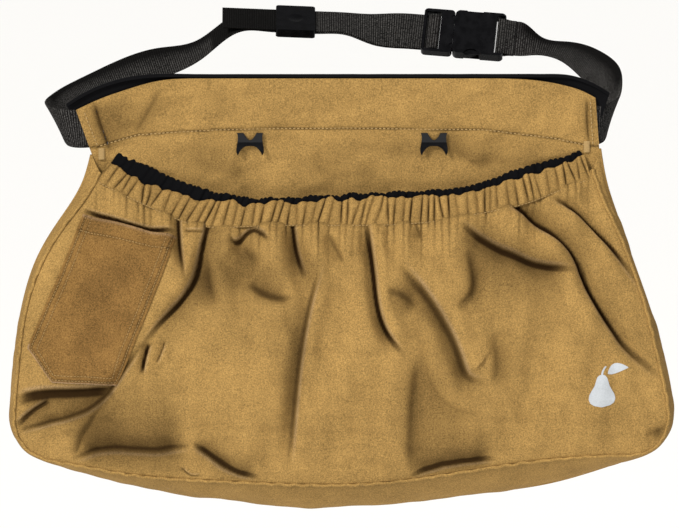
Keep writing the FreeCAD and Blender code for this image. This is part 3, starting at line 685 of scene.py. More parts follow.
def cloth_group():
    """Woven cloth: threads, slubs and washed patches, darker where painted shade is given in its creases
    and paler where a painted highlight is given.
    """
    group = bpy.data.node_groups.get("woven cloth")
    if group:
        return group
    group = new_group("woven cloth", [("Colour", "NodeSocketColor", (0.5, 0.3, 0.1, 1)),
                                      ("Thread Pitch", "NodeSocketFloat", 0.9),
                                      ("Speckle", "NodeSocketFloat", 0.3),
                                      ("Patches", "NodeSocketFloat", 0.15),
                                      ("Shade Colour", "NodeSocketColor", (0.02, 0.01, 0.004, 1)),
                                      ("Highlight Colour", "NodeSocketColor", (0.6, 0.5, 0.34, 1)),
                                      ("Painted Shade", "NodeSocketFloat", 0.0),
                                      ("Painted Highlight", "NodeSocketFloat", 0.0)])
    nodes, links = group.nodes, group.links
    source, result = nodes.new("NodeGroupInput"), nodes.new("NodeGroupOutput")
    place = nodes.new("ShaderNodeTexCoord")

    def math_node(kind, one, two=None):
        node = nodes.new("ShaderNodeMath")
        node.operation = kind
        for slot, value in enumerate((one, two)):
            if value is None:
                continue
            if isinstance(value, (int, float)):
                node.inputs[slot].default_value = value
            else:
                links.new(value, node.inputs[slot])
        return node.outputs[0]

    def noise(scale, detail, stretch=(1, 1, 1)):
        mapping = nodes.new("ShaderNodeMapping")
        mapping.inputs["Scale"].default_value = stretch
        links.new(place.outputs["Object"], mapping.inputs["Vector"])
        node = nodes.new("ShaderNodeTexNoise")
        fill(node, {"Scale": scale, "Detail": detail, "Roughness": 0.6})
        links.new(mapping.outputs[0], node.inputs["Vector"])
        return math_node("SUBTRACT", node.outputs["Fac"], 0.5)

    axes = nodes.new("ShaderNodeSeparateXYZ")
    links.new(place.outputs["Object"], axes.inputs[0])
    rate = math_node("DIVIDE", 2 * math.pi / MM, source.outputs["Thread Pitch"])
    lean = math_node("MULTIPLY", axes.outputs["Y"], 0.71)
    warp = math_node("SINE", math_node("MULTIPLY", math_node("ADD", axes.outputs["X"], lean), rate))
    weft = math_node("SINE", math_node("MULTIPLY", math_node("ADD", axes.outputs["Z"], lean), rate))
    weave = math_node("MULTIPLY", warp, weft)
    speck = noise(820, 2.0)
    across = noise(420, 2.0, (0.12, 0.5, 1.6))
    upright = noise(420, 2.0, (1.6, 0.5, 0.12))
    slub = math_node("MULTIPLY", math_node("ADD", across, upright), 0.1)
    patches = noise(26, 3.0)
    fine = math_node("ADD", math_node("MULTIPLY", weave, 0.06), math_node("ADD", speck, slub))
    amount = math_node("MULTIPLY", fine, source.outputs["Speckle"])
    amount = math_node("ADD", amount, math_node("MULTIPLY", patches, source.outputs["Patches"]))
    shade = math_node("ADD", amount, 1.0)

    def mixed(amount, one, two):
        node = nodes.new("ShaderNodeMix")
        node.data_type = "RGBA"
        links.new(amount, node.inputs["Factor"])
        links.new(one, node.inputs["A"])
        links.new(two, node.inputs["B"])
        return node.outputs["Result"]

    # painted highlight: the colour mixed toward the highlight colour
    painted_highlight = mixed(source.outputs["Painted Highlight"], source.outputs["Colour"], source.outputs["Highlight Colour"])
    tint = nodes.new("ShaderNodeVectorMath")
    tint.operation = "SCALE"
    links.new(painted_highlight, tint.inputs[0])
    links.new(shade, tint.inputs["Scale"])
    # painted shade: the colour mixed toward the shade colour
    deep = mixed(source.outputs["Painted Shade"], tint.outputs[0], source.outputs["Shade Colour"])
    links.new(deep, result.inputs["Colour"])
    height = math_node("ADD", math_node("MULTIPLY", weave, 0.25), math_node("MULTIPLY", slub, 1.2))
    height = math_node("ADD", height, math_node("MULTIPLY", speck, 0.9))
    links.new(height, result.inputs["Height"])
    rough = math_node("ADD", math_node("MULTIPLY", speck, 0.2), 0.86)
    links.new(rough, result.inputs["Roughness"])
    return group


def cloth_material(name, colour, pitch=0.9, speckle=1.0, patches=0.35, bump=0.35, sheen=0.0,
                   gloss=0.05):
    """Woven cloth that darkens by the mesh's painted shade values and pales by its painted highlight ones.
    """
    made, tree, shader = new_material(name)
    if tree is None:
        return made
    nodes, links = tree.nodes, tree.links
    weave = nodes.new("ShaderNodeGroup")
    weave.node_tree = cloth_group()
    # the colour of the painted shade: a darker copy of the cloth's own colour, browner for tan cloth
    warmth = (0.05, 0.035, 0.02) if colour[2] < 0.5 * colour[0] else (0.05, 0.05, 0.05)
    fill(weave, {"Colour": (*colour, 1), "Thread Pitch": pitch, "Speckle": speckle, "Patches": patches,
                 "Shade Colour": (*(w * c for w, c in zip(warmth, colour)), 1),
                 "Highlight Colour": (*(min(1, 1.15 * c + 0.08) for c in colour), 1)})
    for attribute, socket in (("painted_shade", "Painted Shade"), ("painted_highlight", "Painted Highlight")):
        source = nodes.new("ShaderNodeAttribute")
        source.attribute_name = attribute
        links.new(source.outputs["Fac"], weave.inputs[socket])
    links.new(weave.outputs["Colour"], shader.inputs["Base Color"])
    links.new(weave.outputs["Roughness"], shader.inputs["Roughness"])
    add_bump(tree, shader, weave.outputs["Height"], bump, 0.6 * MM)
    fill(shader, {"Specular IOR Level": gloss, "Sheen Weight": sheen, "Sheen Roughness": 0.5})
    return made


def moulded_group():
    """Fine grain and faint scuffs of a moulded or enamelled surface."""
    group = bpy.data.node_groups.get("moulded grain")
    if group:
        return group
    group = new_group("moulded grain", [("Colour", "NodeSocketColor", (0.02, 0.02, 0.02, 1)),
                                        ("Roughness", "NodeSocketFloat", 0.35),
                                        ("Grain Size", "NodeSocketFloat", 900.0)])
    nodes, links = group.nodes, group.links
    source, result = nodes.new("NodeGroupInput"), nodes.new("NodeGroupOutput")
    place = nodes.new("ShaderNodeTexCoord")
    grain = nodes.new("ShaderNodeTexNoise")
    links.new(place.outputs["Object"], grain.inputs["Vector"])
    links.new(source.outputs["Grain Size"], grain.inputs["Scale"])
    grain.inputs["Detail"].default_value = 2.0
    scuff = nodes.new("ShaderNodeTexNoise")
    links.new(place.outputs["Object"], scuff.inputs["Vector"])
    fill(scuff, {"Scale": 130, "Detail": 5.0})
    scale = nodes.new("ShaderNodeMapRange")
    fill(scale, {"From Min": 0.35, "From Max": 0.75, "To Min": 0.85, "To Max": 1.6})
    links.new(scuff.outputs["Fac"], scale.inputs["Value"])
    tint = nodes.new("ShaderNodeVectorMath")
    tint.operation = "SCALE"
    links.new(source.outputs["Colour"], tint.inputs[0])
    links.new(scale.outputs[0], tint.inputs["Scale"])
    links.new(tint.outputs[0], result.inputs["Colour"])
    rough = nodes.new("ShaderNodeMath")
    rough.operation = "MULTIPLY"
    links.new(scale.outputs[0], rough.inputs[0])
    links.new(source.outputs["Roughness"], rough.inputs[1])
    links.new(rough.outputs[0], result.inputs["Roughness"])
    links.new(grain.outputs["Fac"], result.inputs["Height"])
    return group


def hard_material(name, colour, rough, bump, coat, gloss):
    """Moulded plastic or enamel."""
    made, tree, shader = new_material(name)
    if tree is None:
        return made
    nodes, links = tree.nodes, tree.links
    grain = nodes.new("ShaderNodeGroup")
    grain.node_tree = moulded_group()
    fill(grain, {"Colour": (*colour, 1), "Roughness": rough})
    links.new(grain.outputs["Colour"], shader.inputs["Base Color"])
    links.new(grain.outputs["Roughness"], shader.inputs["Roughness"])
    add_bump(tree, shader, grain.outputs["Height"], bump, 0.3 * MM)
    fill(shader, {"Specular IOR Level": gloss, "Coat Weight": coat, "Coat Roughness": 0.12})
    return made


def canvas(context):
    """The bag's tan canvas."""
    return cloth_material("tan canvas", context.scene.picking_bag.canvas_colour, 0.9, 1.9, 0.6, 0.5)


def pocket_canvas(context):
    """The pocket's browner canvas."""
    colour = context.scene.picking_bag.pocket_colour
    return cloth_material("brown tan canvas", colour, 0.9, 2.1, 0.9, 0.5)


def black_cloth(context):
    """The waistband's black facing."""
    return cloth_material("black lining", context.scene.picking_bag.lining_colour, 0.8, 0.6, 0.4, 0.4)


def ribbed_elastic(context):
    """The mouth's black elastic."""
    return cloth_material("black elastic", context.scene.picking_bag.elastic_colour, 1.4, 0.6, 0.3, 0.5)


def webbing(context):
    """The belt's black webbing."""
    colour = context.scene.picking_bag.webbing_colour
    return cloth_material("black webbing", colour, 1.1, 6.0, 0.6, 0.5, gloss=0.04)


def thread(context):
    """Pale sewing thread."""
    colour = context.scene.picking_bag.thread_colour
    return cloth_material("sewing thread", colour, 0.5, 0.5, 0.2, 0.3, sheen=0.05)


def print_ink(context):
    """Pale grey ink on the cloth."""
    return cloth_material("print ink", context.scene.picking_bag.ink_colour, 0.9, 0.4, 0.2, 0.4)


# ------------------------------------------------------------------ riding
front_depth = spline([(z, y) for _, y, z in FRONT_EDGE[:9]])(np.linspace(0, 1, 200))


def follow_mouth(thing):
    """Bakes the cloth's placement into its mesh and reads its points and the hem seam's line; nothing is
    moved.
    """
    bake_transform(thing)
    spots = np.zeros(len(thing.data.vertices) * 3)
    thing.data.vertices.foreach_get("co", spots)
    line = spline(CASING_SEAM)(np.linspace(0, 1, 300))


def finish_piece(thing, material, body=None):
    """A piece's material and slot, and the body that it rides on."""
    thing.data.materials.append(material)
    if body:
        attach(thing, body)


# ------------------------------------------------------------------ settings
class PickingBagSettings(bpy.types.PropertyGroup):
    canvas_colour: bpy.props.FloatVectorProperty(
        name="Canvas", description="Colour of the tan canvas", subtype="COLOR", size=3, min=0, max=1,
        default=(0.285, 0.171, 0.054))
    pocket_colour: bpy.props.FloatVectorProperty(
        name="Pocket Canvas", description="Colour of the pocket's canvas", subtype="COLOR", size=3,
        min=0, max=1, default=(0.182, 0.098, 0.029))
    # near black: the facing is real and also stands for the shade behind the waistband's top edge
    lining_colour: bpy.props.FloatVectorProperty(
        name="Facing", description="Colour of the waistband's facing", subtype="COLOR", size=3,
        min=0, max=1, default=(0.004, 0.004, 0.0045))
    # near black: the elastic is real and also stands for the shadow inside the open mouth
    elastic_colour: bpy.props.FloatVectorProperty(
        name="Elastic", description="Colour of the mouth's elastic", subtype="COLOR", size=3,
        min=0, max=1, default=(0.0025, 0.0025, 0.003))
    webbing_colour: bpy.props.FloatVectorProperty(
        name="Webbing", description="Colour of the belt", subtype="COLOR", size=3, min=0, max=1,
        default=(0.06, 0.057, 0.054))
    plastic_colour: bpy.props.FloatVectorProperty(
        name="Buckle", description="Colour of the buckle and the keeper", subtype="COLOR", size=3,
        min=0, max=1, default=(0.0025, 0.0025, 0.003))
    metal_colour: bpy.props.FloatVectorProperty(
        name="Hooks", description="Colour of the hooks' enamel", subtype="COLOR", size=3, min=0, max=1,
        default=(0.004, 0.004, 0.0045))
    thread_colour: bpy.props.FloatVectorProperty(
        name="Thread", description="Colour of the sewing thread", subtype="COLOR", size=3, min=0, max=1,
        default=(0.36, 0.24, 0.10))
    ink_colour: bpy.props.FloatVectorProperty(
        name="Print", description="Colour of the small printed pear", subtype="COLOR", size=3,
        min=0, max=1, default=(0.42, 0.44, 0.46))
    gather_height: bpy.props.FloatProperty(
        name="Gather Height", description="How far the puffs of the gathered hem stand out",
        default=4.2 * MM, min=0.0, max=0.01, subtype="DISTANCE", unit="LENGTH")
    rib_height: bpy.props.FloatProperty(
        name="Webbing Rib", description="How far the webbing's ribs stand out",
        default=0.22 * MM, min=0.0, max=0.001, subtype="DISTANCE", unit="LENGTH")
    stitch_length: bpy.props.FloatProperty(
        name="Stitch Length", description="Length of one stitch", default=2.7 * MM, min=0.001,
        max=0.006, subtype="DISTANCE", unit="LENGTH")
    sun_strength: bpy.props.FloatProperty(
        name="Key Light", description="Strength of the soft key light", default=3.2, min=0, max=20)


# ------------------------------------------------------------------ floor, light and camera
FLOOR_REACH, FLOOR_DROP = 60.0, 0.45
KEY_AIM, KEY_SPREAD = (0.52, 0.62, -0.62), 11
AREA_LIGHTS = [("low fill", (0.1, -1.7, -0.82), 1.3, 16.0), ("glint", (0.35, -0.9, 1.6), 0.7, 12.0)]
LIGHT_TARGET = Vector((0, 0.02, -0.12))
CAMERA_TARGET = Vector((-0.0024, -0.030, -0.1487))
CAMERA_DISTANCE, CAMERA_TILT, CAMERA_LENS = 9.0, 15, 501.0


def link(context, name, data):
    """A new object in the scene."""
    thing = bpy.data.objects.new(name, data)
    context.scene.collection.objects.link(thing)
    return thing


def add_floor(context):
    """Wide pale floor below the bag."""
    floor = bpy.data.meshes.new("floor")
    reach, level = FLOOR_REACH, cad_low.z - FLOOR_DROP
    floor.from_pydata([(-reach, -reach, level), (reach, -reach, level), (reach, reach, level),
                       (-reach, reach, level)], [], [(0, 1, 2, 3)])
    link(context, "floor", floor)
    made, tree, shader = new_material("pale floor")
    noise = tree.nodes.new("ShaderNodeTexNoise")
    fill(noise, {"Scale": 0.4})
    ramp = tree.nodes.new("ShaderNodeMapRange")
    fill(ramp, {"To Min": 0.97, "To Max": 1.0})
    tree.links.new(noise.outputs["Fac"], ramp.inputs["Value"])
    tree.links.new(ramp.outputs[0], shader.inputs["Base Color"])
    fill(shader, {"Roughness": 0.9})
    floor.materials.append(made)


def add_lights(context):
    """Pale surroundings, one soft key light and two area lights."""
    world = bpy.data.worlds.new("studio")
    world.use_nodes = True
    fill(world.node_tree.nodes["Background"], {"Color": (1.0, 0.99, 0.97, 1), "Strength": 0.38})
    context.scene.world = world
    key = bpy.data.lights.new("key", "SUN")
    key.energy = context.scene.picking_bag.sun_strength
    key.angle = math.radians(KEY_SPREAD)
    key.color = (1.0, 0.985, 0.95)
    link(context, "key", key).rotation_euler = Vector(KEY_AIM).to_track_quat("-Z", "Y").to_euler()
    for name, place, size, power in AREA_LIGHTS:
        light = bpy.data.lights.new(name, "AREA")
        light.size = size
        light.energy = power
        lamp = link(context, name, light)
        lamp.location = place
        lamp.rotation_euler = (LIGHT_TARGET - Vector(place)).to_track_quat("-Z", "Y").to_euler()


def add_camera(context):
    """Camera in front of the bag, looking a little down."""
    tilt = math.radians(CAMERA_TILT)
    camera = bpy.data.cameras.new("camera")
    camera.sensor_width = 36
    camera.lens = CAMERA_LENS
    camera.clip_end = 200
    view = link(context, "camera", camera)
    view.location = CAMERA_TARGET + Vector((0, -math.cos(tilt), math.sin(tilt))) * CAMERA_DISTANCE
    view.rotation_euler = (CAMERA_TARGET - view.location).to_track_quat("-Z", "Y").to_euler()
    context.scene.camera = view


# ------------------------------------------------------------------ operators
class BAG_OT_stage(bpy.types.Operator):
    """Pale floor, soft studio light and the camera"""
    bl_idname = "picking_bag.stage"
    bl_label = "Stage"

    def execute(self, context):
        add_floor(context)
        add_lights(context)
        add_camera(context)
        context.scene.view_settings.view_transform = "Standard"
        return {"FINISHED"}


class BAG_OT_front(bpy.types.Operator):
    """Front panel, gathered at the mouth and pleated"""
    bl_idname = "picking_bag.front"
    bl_label = "Front Panel"

    def execute(self, context):
        a, b = grid(420, 220)
        outer, outward, painted_shade, painted_highlight = front_surface(a, b)
        inner = outer - grid_outward(outer, outward) * CANVAS
        panel = make_sheet("front_panel_cloth", outer, inner, painted_shade, painted_highlight)
        finish_piece(panel, canvas(context))
        follow_mouth(panel)
        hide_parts("front_panel")
        return {"FINISHED"}


def grid_outward(points, outward):
    """Normals of a grid, kept near the outward ones."""
    normals = grid_normals(points)
    sign = np.sign((normals * outward).sum(-1, keepdims=True))
    return unit(normals * sign + outward * 0.6)


class BAG_OT_gusset(bpy.types.Operator):
    """Strip round the sides and bottom"""
    bl_idname = "picking_bag.gusset"
    bl_label = "Gusset"

    def execute(self, context):
        a, b = grid(420, 34)
        outer = gusset_surface(a, b)
        normals = grid_normals(outer)
        inner = outer - normals * CANVAS
        # painted shade along both seams of the strip
        shade = np.clip(np.exp(-(1 - b) * 26) * 0.5 + np.exp(-b * 30) * 0.5, 0, 1)
        strip = make_sheet("gusset_cloth", outer, inner, shade)
        finish_piece(strip, canvas(context))
        follow_mouth(strip)
        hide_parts("side_bottom_gusset")
        return {"FINISHED"}


def facing_surface():
    """Middle of the facing: up behind the waistband and rolled forward over its top edge."""
    # The facing's top rises up and out at the left end, so that the black facing also stands for the shade
    # behind the waistband's top edge.
    top = chain(spline([(-262, -1), (-248, 8), (-226, 18.5), (-182, 27.6), (-140, 27.8)]), [(190, 28)],
                spline([(190, 28), (216, 26.8), (238, 19.5), (254, 10)]))
    foot = spline([(-236, -44), (-200, -37), (-120, -32), (120, -32), (200, -36), (237, -44)])
    roll = [(-0.5, 0.6), (-1.0, 1.7), (-2.1, 2.4), (-3.4, 2.3), (-4.6, 1.4), (-5.0, 0.3)]
    count = 240
    along = np.linspace(0, 1, count)
    head, base = top(along), foot(along)
    rows = []
    for share in np.linspace(1, 0.02, 26):
        rows.append(np.stack([head[:, 0] * (1 - share) + base[:, 0] * share, np.full(count, -0.6),
                              head[:, 1] * (1 - share) + base[:, 1] * share], -1))
    for y, rise in roll:
        rows.append(np.stack([head[:, 0], np.full(count, y), head[:, 1] + rise], -1))
    middle = np.stack(rows, 1)
    middle[..., 1] += 0.12 * ripples(middle[..., 0], middle[..., 2], 30, 51, lean=1.0)
    return middle


class BAG_OT_back(bpy.types.Operator):
    """Back panel with the waistband, and the black facing behind it"""
    bl_idname = "picking_bag.back"
    bl_label = "Back Panel and Facing"

    def execute(self, context):
        a, b = grid(300, 210)
        flat = back_flat(a, b)
        x, z = flat[..., 0], flat[..., 1]
        rim = np.minimum(np.minimum(a, 1 - a) * 40, np.minimum(b * 30, (1 - b) * 30))
        wrinkle = band_wrinkles(x, z) * smooth(rim)
        outer = np.stack([x, PANEL_FRONT - wrinkle, z], -1)
        inner = outer + np.array([0, CANVAS, 0])
        # painted shade in the stitched groove under the waistband, and along and beside the creases above
        shade = 0.85 * np.exp(-((z - stitch_height(x)) / 1.0) ** 2)
        for line, dark, wide, soft, spread in BACK_CREASES:
            gap, share, _ = beside(x, z, line)
            fade = smooth(np.minimum(share, 1 - share) / 0.25 + 0.05)
            shade = np.maximum(shade, dark * fade * np.exp(-(gap / wide) ** 2))
            haze = soft * fade * np.exp(-(np.abs(gap) / np.where(gap > 0, 0.4, 1) / spread) ** 1.6)
            shade = shade + haze * (1 - shade)
        panel = make_sheet("back_panel_cloth", outer, inner, shade)
        finish_piece(panel, canvas(context), "bag")
        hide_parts("back_panel")

        middle = facing_surface()
        normals = grid_normals(middle)
        facing = make_sheet("waistband_facing_cloth", middle + normals * 0.5, middle - normals * 0.5)
        finish_piece(facing, black_cloth(context), "bag")
        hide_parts("waistband_facing")
        return {"FINISHED"}


mouth, seam = spline(MOUTH_EDGE), spline(CASING_SEAM)


def hem_rings(full):
    """Rings of the gathered hem and their painted shade; full is how far its puffs stand out."""
    count, around = 900, 30
    a = np.linspace(0.004, 0.996, count)
    top, low = mouth(a), seam(a)
    x = low[:, 0]
    scallop = 0.8 * ripples(x, x * 0, 14, 61, lean=0.0) + 0.9 * ripples(x, x * 0, 34, 62, lean=0.0)
    up = unit(top - low)
    way = unit(np.gradient(low, axis=0))
    outward = unit(np.cross(up, way))
    outward *= np.sign(-outward[:, 1:2])
    end = smooth(np.minimum(a, 1 - a) / 0.03)
    rings = np.zeros((count, around, 3))
    shade = np.zeros((count, around))
    for k, angle in enumerate(np.linspace(0, 2 * math.pi, around, endpoint=False)):
        share = 0.5 - 0.5 * math.cos(angle)
        front = math.sin(angle) > 0
        puff, near, which = gathers(x, 1.6 * (share - 0.5))
        reach = abs(math.sin(angle)) ** 0.8
        out = (1.2 + full * puff) * reach if front else -(1.0 + 0.35 * full * puff) * reach
        height = 1.0 - share
        rise = (scallop + 0.6 * puff - 0.9 * near * HIGH_DARK[which]) * height * end
        spot = low + (top - low) * height + up * rise[:, None]
        rings[:, k] = spot + outward * (out * (0.3 + 0.7 * end))[:, None]
        # painted shade in the gathers' valleys, between the puffs and along the hem's seam
        deep = HIGH_DARK[which] * height + LOW_DARK[which] * (1 - height)
        gathered = 1.25 * near * deep * (1.0 if front else 0.5) * (0.4 + 0.6 * reach)
        shade[:, k] = np.maximum(np.clip(gathered, 0, 1), 0.42 * (1 - puff) ** 1.5)
        if share > 0.95:
            shade[:, k] = np.maximum(shade[:, k], 0.3)
    return rings, shade


def elastic_surface():
    """Middle of the ruffled elastic, standing up behind the hem."""
    a, b = grid(1100, 14)
    a = 0.008 + 0.984 * a
    top, low = mouth(a), seam(a)
    up = unit(top - low)
    x = low[..., 0]
    # The elastic stands up above the hem, taller at the left, so that it also stands for the shadow inside
    # the open mouth.
    crest = np.interp(x, [-236, -222, -195, -150, -90, 60, 130, 190, 239],
                      [11, 15, 15, 10, 4, 4, 6, 8, 4])
    bumps = np.abs(np.sin(math.pi * (x + 0.9 * ripples(x, x * 0, 19, 71, lean=0.0)) / 5.6)) ** 0.6
    ruffle = 1.9 * bumps - 1.2 + 0.5 * ripples(x, x * 0, 26, 73, lean=0.0)
    lift = (crest + ruffle) * (1 - b) + 4 * b
    lift = lift * smooth(np.minimum(a, 1 - a) / 0.012)
    spot = low * b[..., None] + top * (1 - b)[..., None] + up * lift[..., None]
    wave = 0.5 * ripples(x + 3 * b, x * 0, 8, 72, lean=0.0)
    spot[..., 1] += 2.6 + wave * (0.4 + 0.6 * (1 - b))
    return spot


class BAG_OT_mouth(bpy.types.Operator):
    """Gathered hem of the mouth and the ruffled black elastic inside it"""
    bl_idname = "picking_bag.mouth"
    bl_label = "Gathered Mouth"

    def execute(self, context):
        rings, shade = hem_rings(context.scene.picking_bag.gather_height / MM)
        casing = make_tube("elastic_casing_cloth", rings, shade, 75)
        finish_piece(casing, canvas(context), "mouth")
        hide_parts("elastic_casing")

        middle = elastic_surface()
        normals = grid_normals(middle)
        band = make_sheet("elastic_band_cloth", middle + normals * 0.6, middle - normals * 0.6)
        finish_piece(band, ribbed_elastic(context), "mouth")
        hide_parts("elastic_band")
        return {"FINISHED"}


def pocket_flat(s, t):
    """The pocket's outline in (x, z): s runs left to right, t from its mouth down."""
    left = chain([POCKET["top_left"], POCKET["cut_left"], POCKET["low_left"]])(t)
    right = chain([POCKET["top_right"], POCKET["low_right"]])(t)
    return left * (1 - s)[..., None] + right * s[..., None]


def pocket_edge(s, t):
    """How far in from the pocket's sewn edges."""
    return np.minimum(np.minimum(s, 1 - s) * POCKET_WIDE, (1 - t) * POCKET_DEEP)


def pocket_lift(s, t):
    """How far the pocket stands off the front panel."""
    open_mouth = 3.4 * np.sin(np.pi * s) * np.exp(-t / 0.25)
    belly = 1.6 * np.sin(np.pi * s) * np.sin(np.pi * np.clip(t, 0, 1))
    return 0.5 + 1.0 * smooth(pocket_edge(s, t) / 7) + belly + open_mouth


def on_pocket(s, t, lift=0.0):
    """Points a given height above the pocket."""
    flat = pocket_flat(s, t)
    return on_front(flat[..., 0], flat[..., 1], pocket_lift(s, t) + CANVAS + lift)


class BAG_OT_pocket(bpy.types.Operator):
    """Patch pocket with a cut corner"""
    bl_idname = "picking_bag.pocket"
    bl_label = "Patch Pocket"

    def execute(self, context):
        s, t = grid(90, 130)
        outer, outward = on_pocket(s, t)
        edge, top = pocket_edge(s, t), t * POCKET_DEEP
        hem = 0.5 * smooth((POCKET_HEM + 1 - top) / 1.5)
        near, far = (np.exp(-((edge - inset) / 0.9) ** 2) for inset in POCKET_SEAMS)
        groove = 0.35 * near + 0.35 * far
        outer = outer + outward * (hem - groove)[..., None]
        inner = outer - outward * (CANVAS + hem)[..., None]
        # painted shade in the stitch grooves, along the hem's fold and in soft patches
        sewn = 1.2 * near + 0.5 * far
        shade = 0.5 * sewn + 0.4 * np.exp(-((top - POCKET_HEM) / 1.0) ** 2)
        soft = ripples(s * POCKET_WIDE, top, 60, 91, lean=1.2, drawn=1.5)
        shade = np.clip(shade + 0.18 * np.clip(soft - 0.3, 0, 1), 0, 1)
        # painted highlight along the pocket's lower edges and its top edge
        low_edge = np.minimum((1 - t) * POCKET_DEEP, np.where(t > 0.75, s * POCKET_WIDE, 99))
        painted_highlight = np.exp(-(low_edge / 1.0) ** 2) + 0.5 * np.exp(-((top - 1) / 1.2) ** 2)
        patch = make_sheet("pocket_cloth", outer, inner, shade, np.clip(painted_highlight, 0, 1))
        finish_piece(patch, pocket_canvas(context))
        follow_mouth(patch)
        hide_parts("pocket")
        return {"FINISHED"}


# ------------------------------------------------------------------ belt
def axis(name):
    """Unit vectors of the buckle or keeper, as the belt passes them."""
    along, wide = {"buckle": ((68.5, -6, -4.2), (0, 0.68, 0.73)),
                   "keeper": ((97, 2, -4.5), (0, 0.956, 0.292))}[name]
    along = unit(np.array(along, float))
    wide = np.array(wide, float)
    wide = unit(wide - along * (wide @ along))
    return along, wide, np.cross(along, wide)


BUCKLE_MIDDLE = np.array([118, 173.8, 26.8])
STRAIGHT_START = np.array([-94.0, 168, 32])
STRAP_BELOW, STRAP_ABOVE, STRAP_ENTRY = -3.35, -1.0, -44.0


def on_buckle(u, v, w):
    """A point of the buckle: u along the belt, v across it, w off it."""
    along, wide, up = axis("buckle")
    return BUCKLE_MIDDLE + along * u + wide * v + up * w


def belt_lines():
    """Lower and upper edge of the belt from the tunnel, round the left and through the buckle."""
    tunnel = [(238, -38), (200, -31), (150, -22), (100, -16), (0, -13), (-100, -17), (-150, -24),
              (-200, -34), (-238, -41)]
    low = [(x, BELT_LAYER, z) for x, z in tunnel]
    high = [(x, BELT_LAYER, z + WEB_WIDTH) for x, z in tunnel]
    low += [(-252, -0.6, -42), (-261, 8, -42), (-264.5, 22, -40), (-265, 40, -36), (-263, 62, -29),
            (-256, 90, -21), (-230.5, 118, -18.8), (-168.6, 150, -8.7), (-135, 160, 6.4)]
    high += [(-256, -1.5, -4.5), (-272, 6, -5), (-280, 20, -6), (-284, 44, -8), (-281, 78, -11),
             (-268, 120, -12), (-241, 152, -5.6), (-178, 180.6, 11.7), (-141, 197, 15)]
    along, wide, up = axis("keeper")
    for step in (0, 24, 48, 72, 97):
        spot = STRAIGHT_START + along * step
        low.append(tuple(spot))
        high.append(tuple(spot + wide * WEB_WIDTH))
    low += [(28.6, 168.8, 18), (52, 168.6, 14.3)]
    high += [(29, 199, 39.5), (54.5, 194, 42)]
    for u in (STRAP_ENTRY - 5, STRAP_ENTRY):
        low.append(tuple(on_buckle(u, -WEB_WIDTH / 2, STRAP_BELOW)))
        high.append(tuple(on_buckle(u, WEB_WIDTH / 2, STRAP_BELOW)))
    low, high = np.array(low), np.array(high)
    # round the ladder bar and back over itself: along the belt, and off it
    ladder = [(-41, -3.35), (-37, -3.35), (-33, -3.35), (-29.5, -3.35), (-27.2, -3.1), (-25.6, -2.4),
              (-24.6, -1.2), (-24.3, 0.1), (-24.9, 1.5), (-26.4, 2.5), (-28.2, 2.8), (-30.0, 2.8),
              (-31.8, 2.4), (-33.1, 1.3), (-34.2, 0.1), (-35.6, -0.7), (-37.4, -1.0), (-40, -1.0),
              (-44, -1.0)]
    shares = np.linspace(0, 1, 90)
    edges = spline(np.hstack([low, high]))(shares)
    low_line, high_line = list(edges[:, :3]), list(edges[:, 3:])
    for u, w in ladder:
        low_line.append(on_buckle(u, -WEB_WIDTH / 2, w))
        high_line.append(on_buckle(u, WEB_WIDTH / 2, w))
    tail_low, tail_high = [low_line[-1]], [high_line[-1]]
    offset = STRAP_ABOVE - STRAP_BELOW
    for i in range(len(low) - 2, len(low) - 9, -1):
        way = low[i + 1] + high[i + 1] - low[i - 1] - high[i - 1]
        lifted = unit(np.cross(way, high[i] - low[i])) * offset
        tail_low.append(low[i] + lifted)
        tail_high.append(high[i] + lifted)
    for step in (-8.0, -16.0, -22.0):
        spot = STRAIGHT_START + along * step + up * offset
        tail_low.append(spot)
        tail_high.append(spot + wide * WEB_WIDTH)
    edges = spline(np.hstack([tail_low, tail_high]))(np.linspace(0, 1, 36))[1:]
    low_line += list(edges[:, :3])
    high_line += list(edges[:, 3:])
    return np.array(low_line), np.array(high_line)


def webbing_rings(low_points, high_points, rib):
    """Ribbed webbing between two edge lines: ribs run across it, its edges are rounded, and it comes with
    its painted shade.
    """
    both = spline(np.hstack([low_points, high_points]))
    test = both(np.linspace(0, 1, 800))
    length = np.linalg.norm(np.diff(test[:, :3] + test[:, 3:], axis=0), axis=1).sum() / 2
    count = int(length / RIB_STEP)
    edges = both(np.linspace(0, 1, count))
    low, high = edges[:, :3], edges[:, 3:]
    middle = (low + high) / 2
    wave = np.sin(2 * math.pi * lengths(middle) / RIB_PITCH)
    way = np.gradient(middle, axis=0)
    up = unit(np.cross(way, high - low))
    ribs = rib * wave
    stations = [(-0.5, 0), (-0.492, 0.8), (-0.46, 1), (-0.3, 1), (-0.1, 1), (0.1, 1), (0.3, 1), (0.46, 1),
                (0.492, 0.8), (0.5, 0)]
    stations += [(s, -h) for s, h in stations[1:-1][::-1]]
    rings = []
    for share, side in stations:
        size = side * (WEB_THICK / 2 + (ribs if abs(share) < 0.47 else ribs * 0.4))
        spot = middle + (high - low) * share
        rings.append(spot + up * np.broadcast_to(size, (count,))[:, None])
    # painted shade in the grooves between the ribs
    groove = 0.5 - 0.5 * wave
    shade = np.repeat(groove[:, None] ** 0.45, len(stations), 1)
    x, y = middle[:, 0], middle[:, 1]
    # painted shade where the belt twists away from the light, and a painted shadow along its doubled tail
    twisted = smooth((y - 50) / 25) * smooth((np.abs(x - 30) - 130) / 20)
    doubled = smooth((x + 130) / 6) * smooth((-44 - x) / 14) * smooth((y - 150) / 8)
    across = np.array([share for share, _ in stations])
    upper = smooth((across - 0.05) / 0.14)
    unlit = np.maximum((0.92 * twisted)[:, None] * upper[None], (0.9 * doubled)[:, None])
    shade = shade + unlit * (1 - shade)
    return np.stack(rings, 1), shade


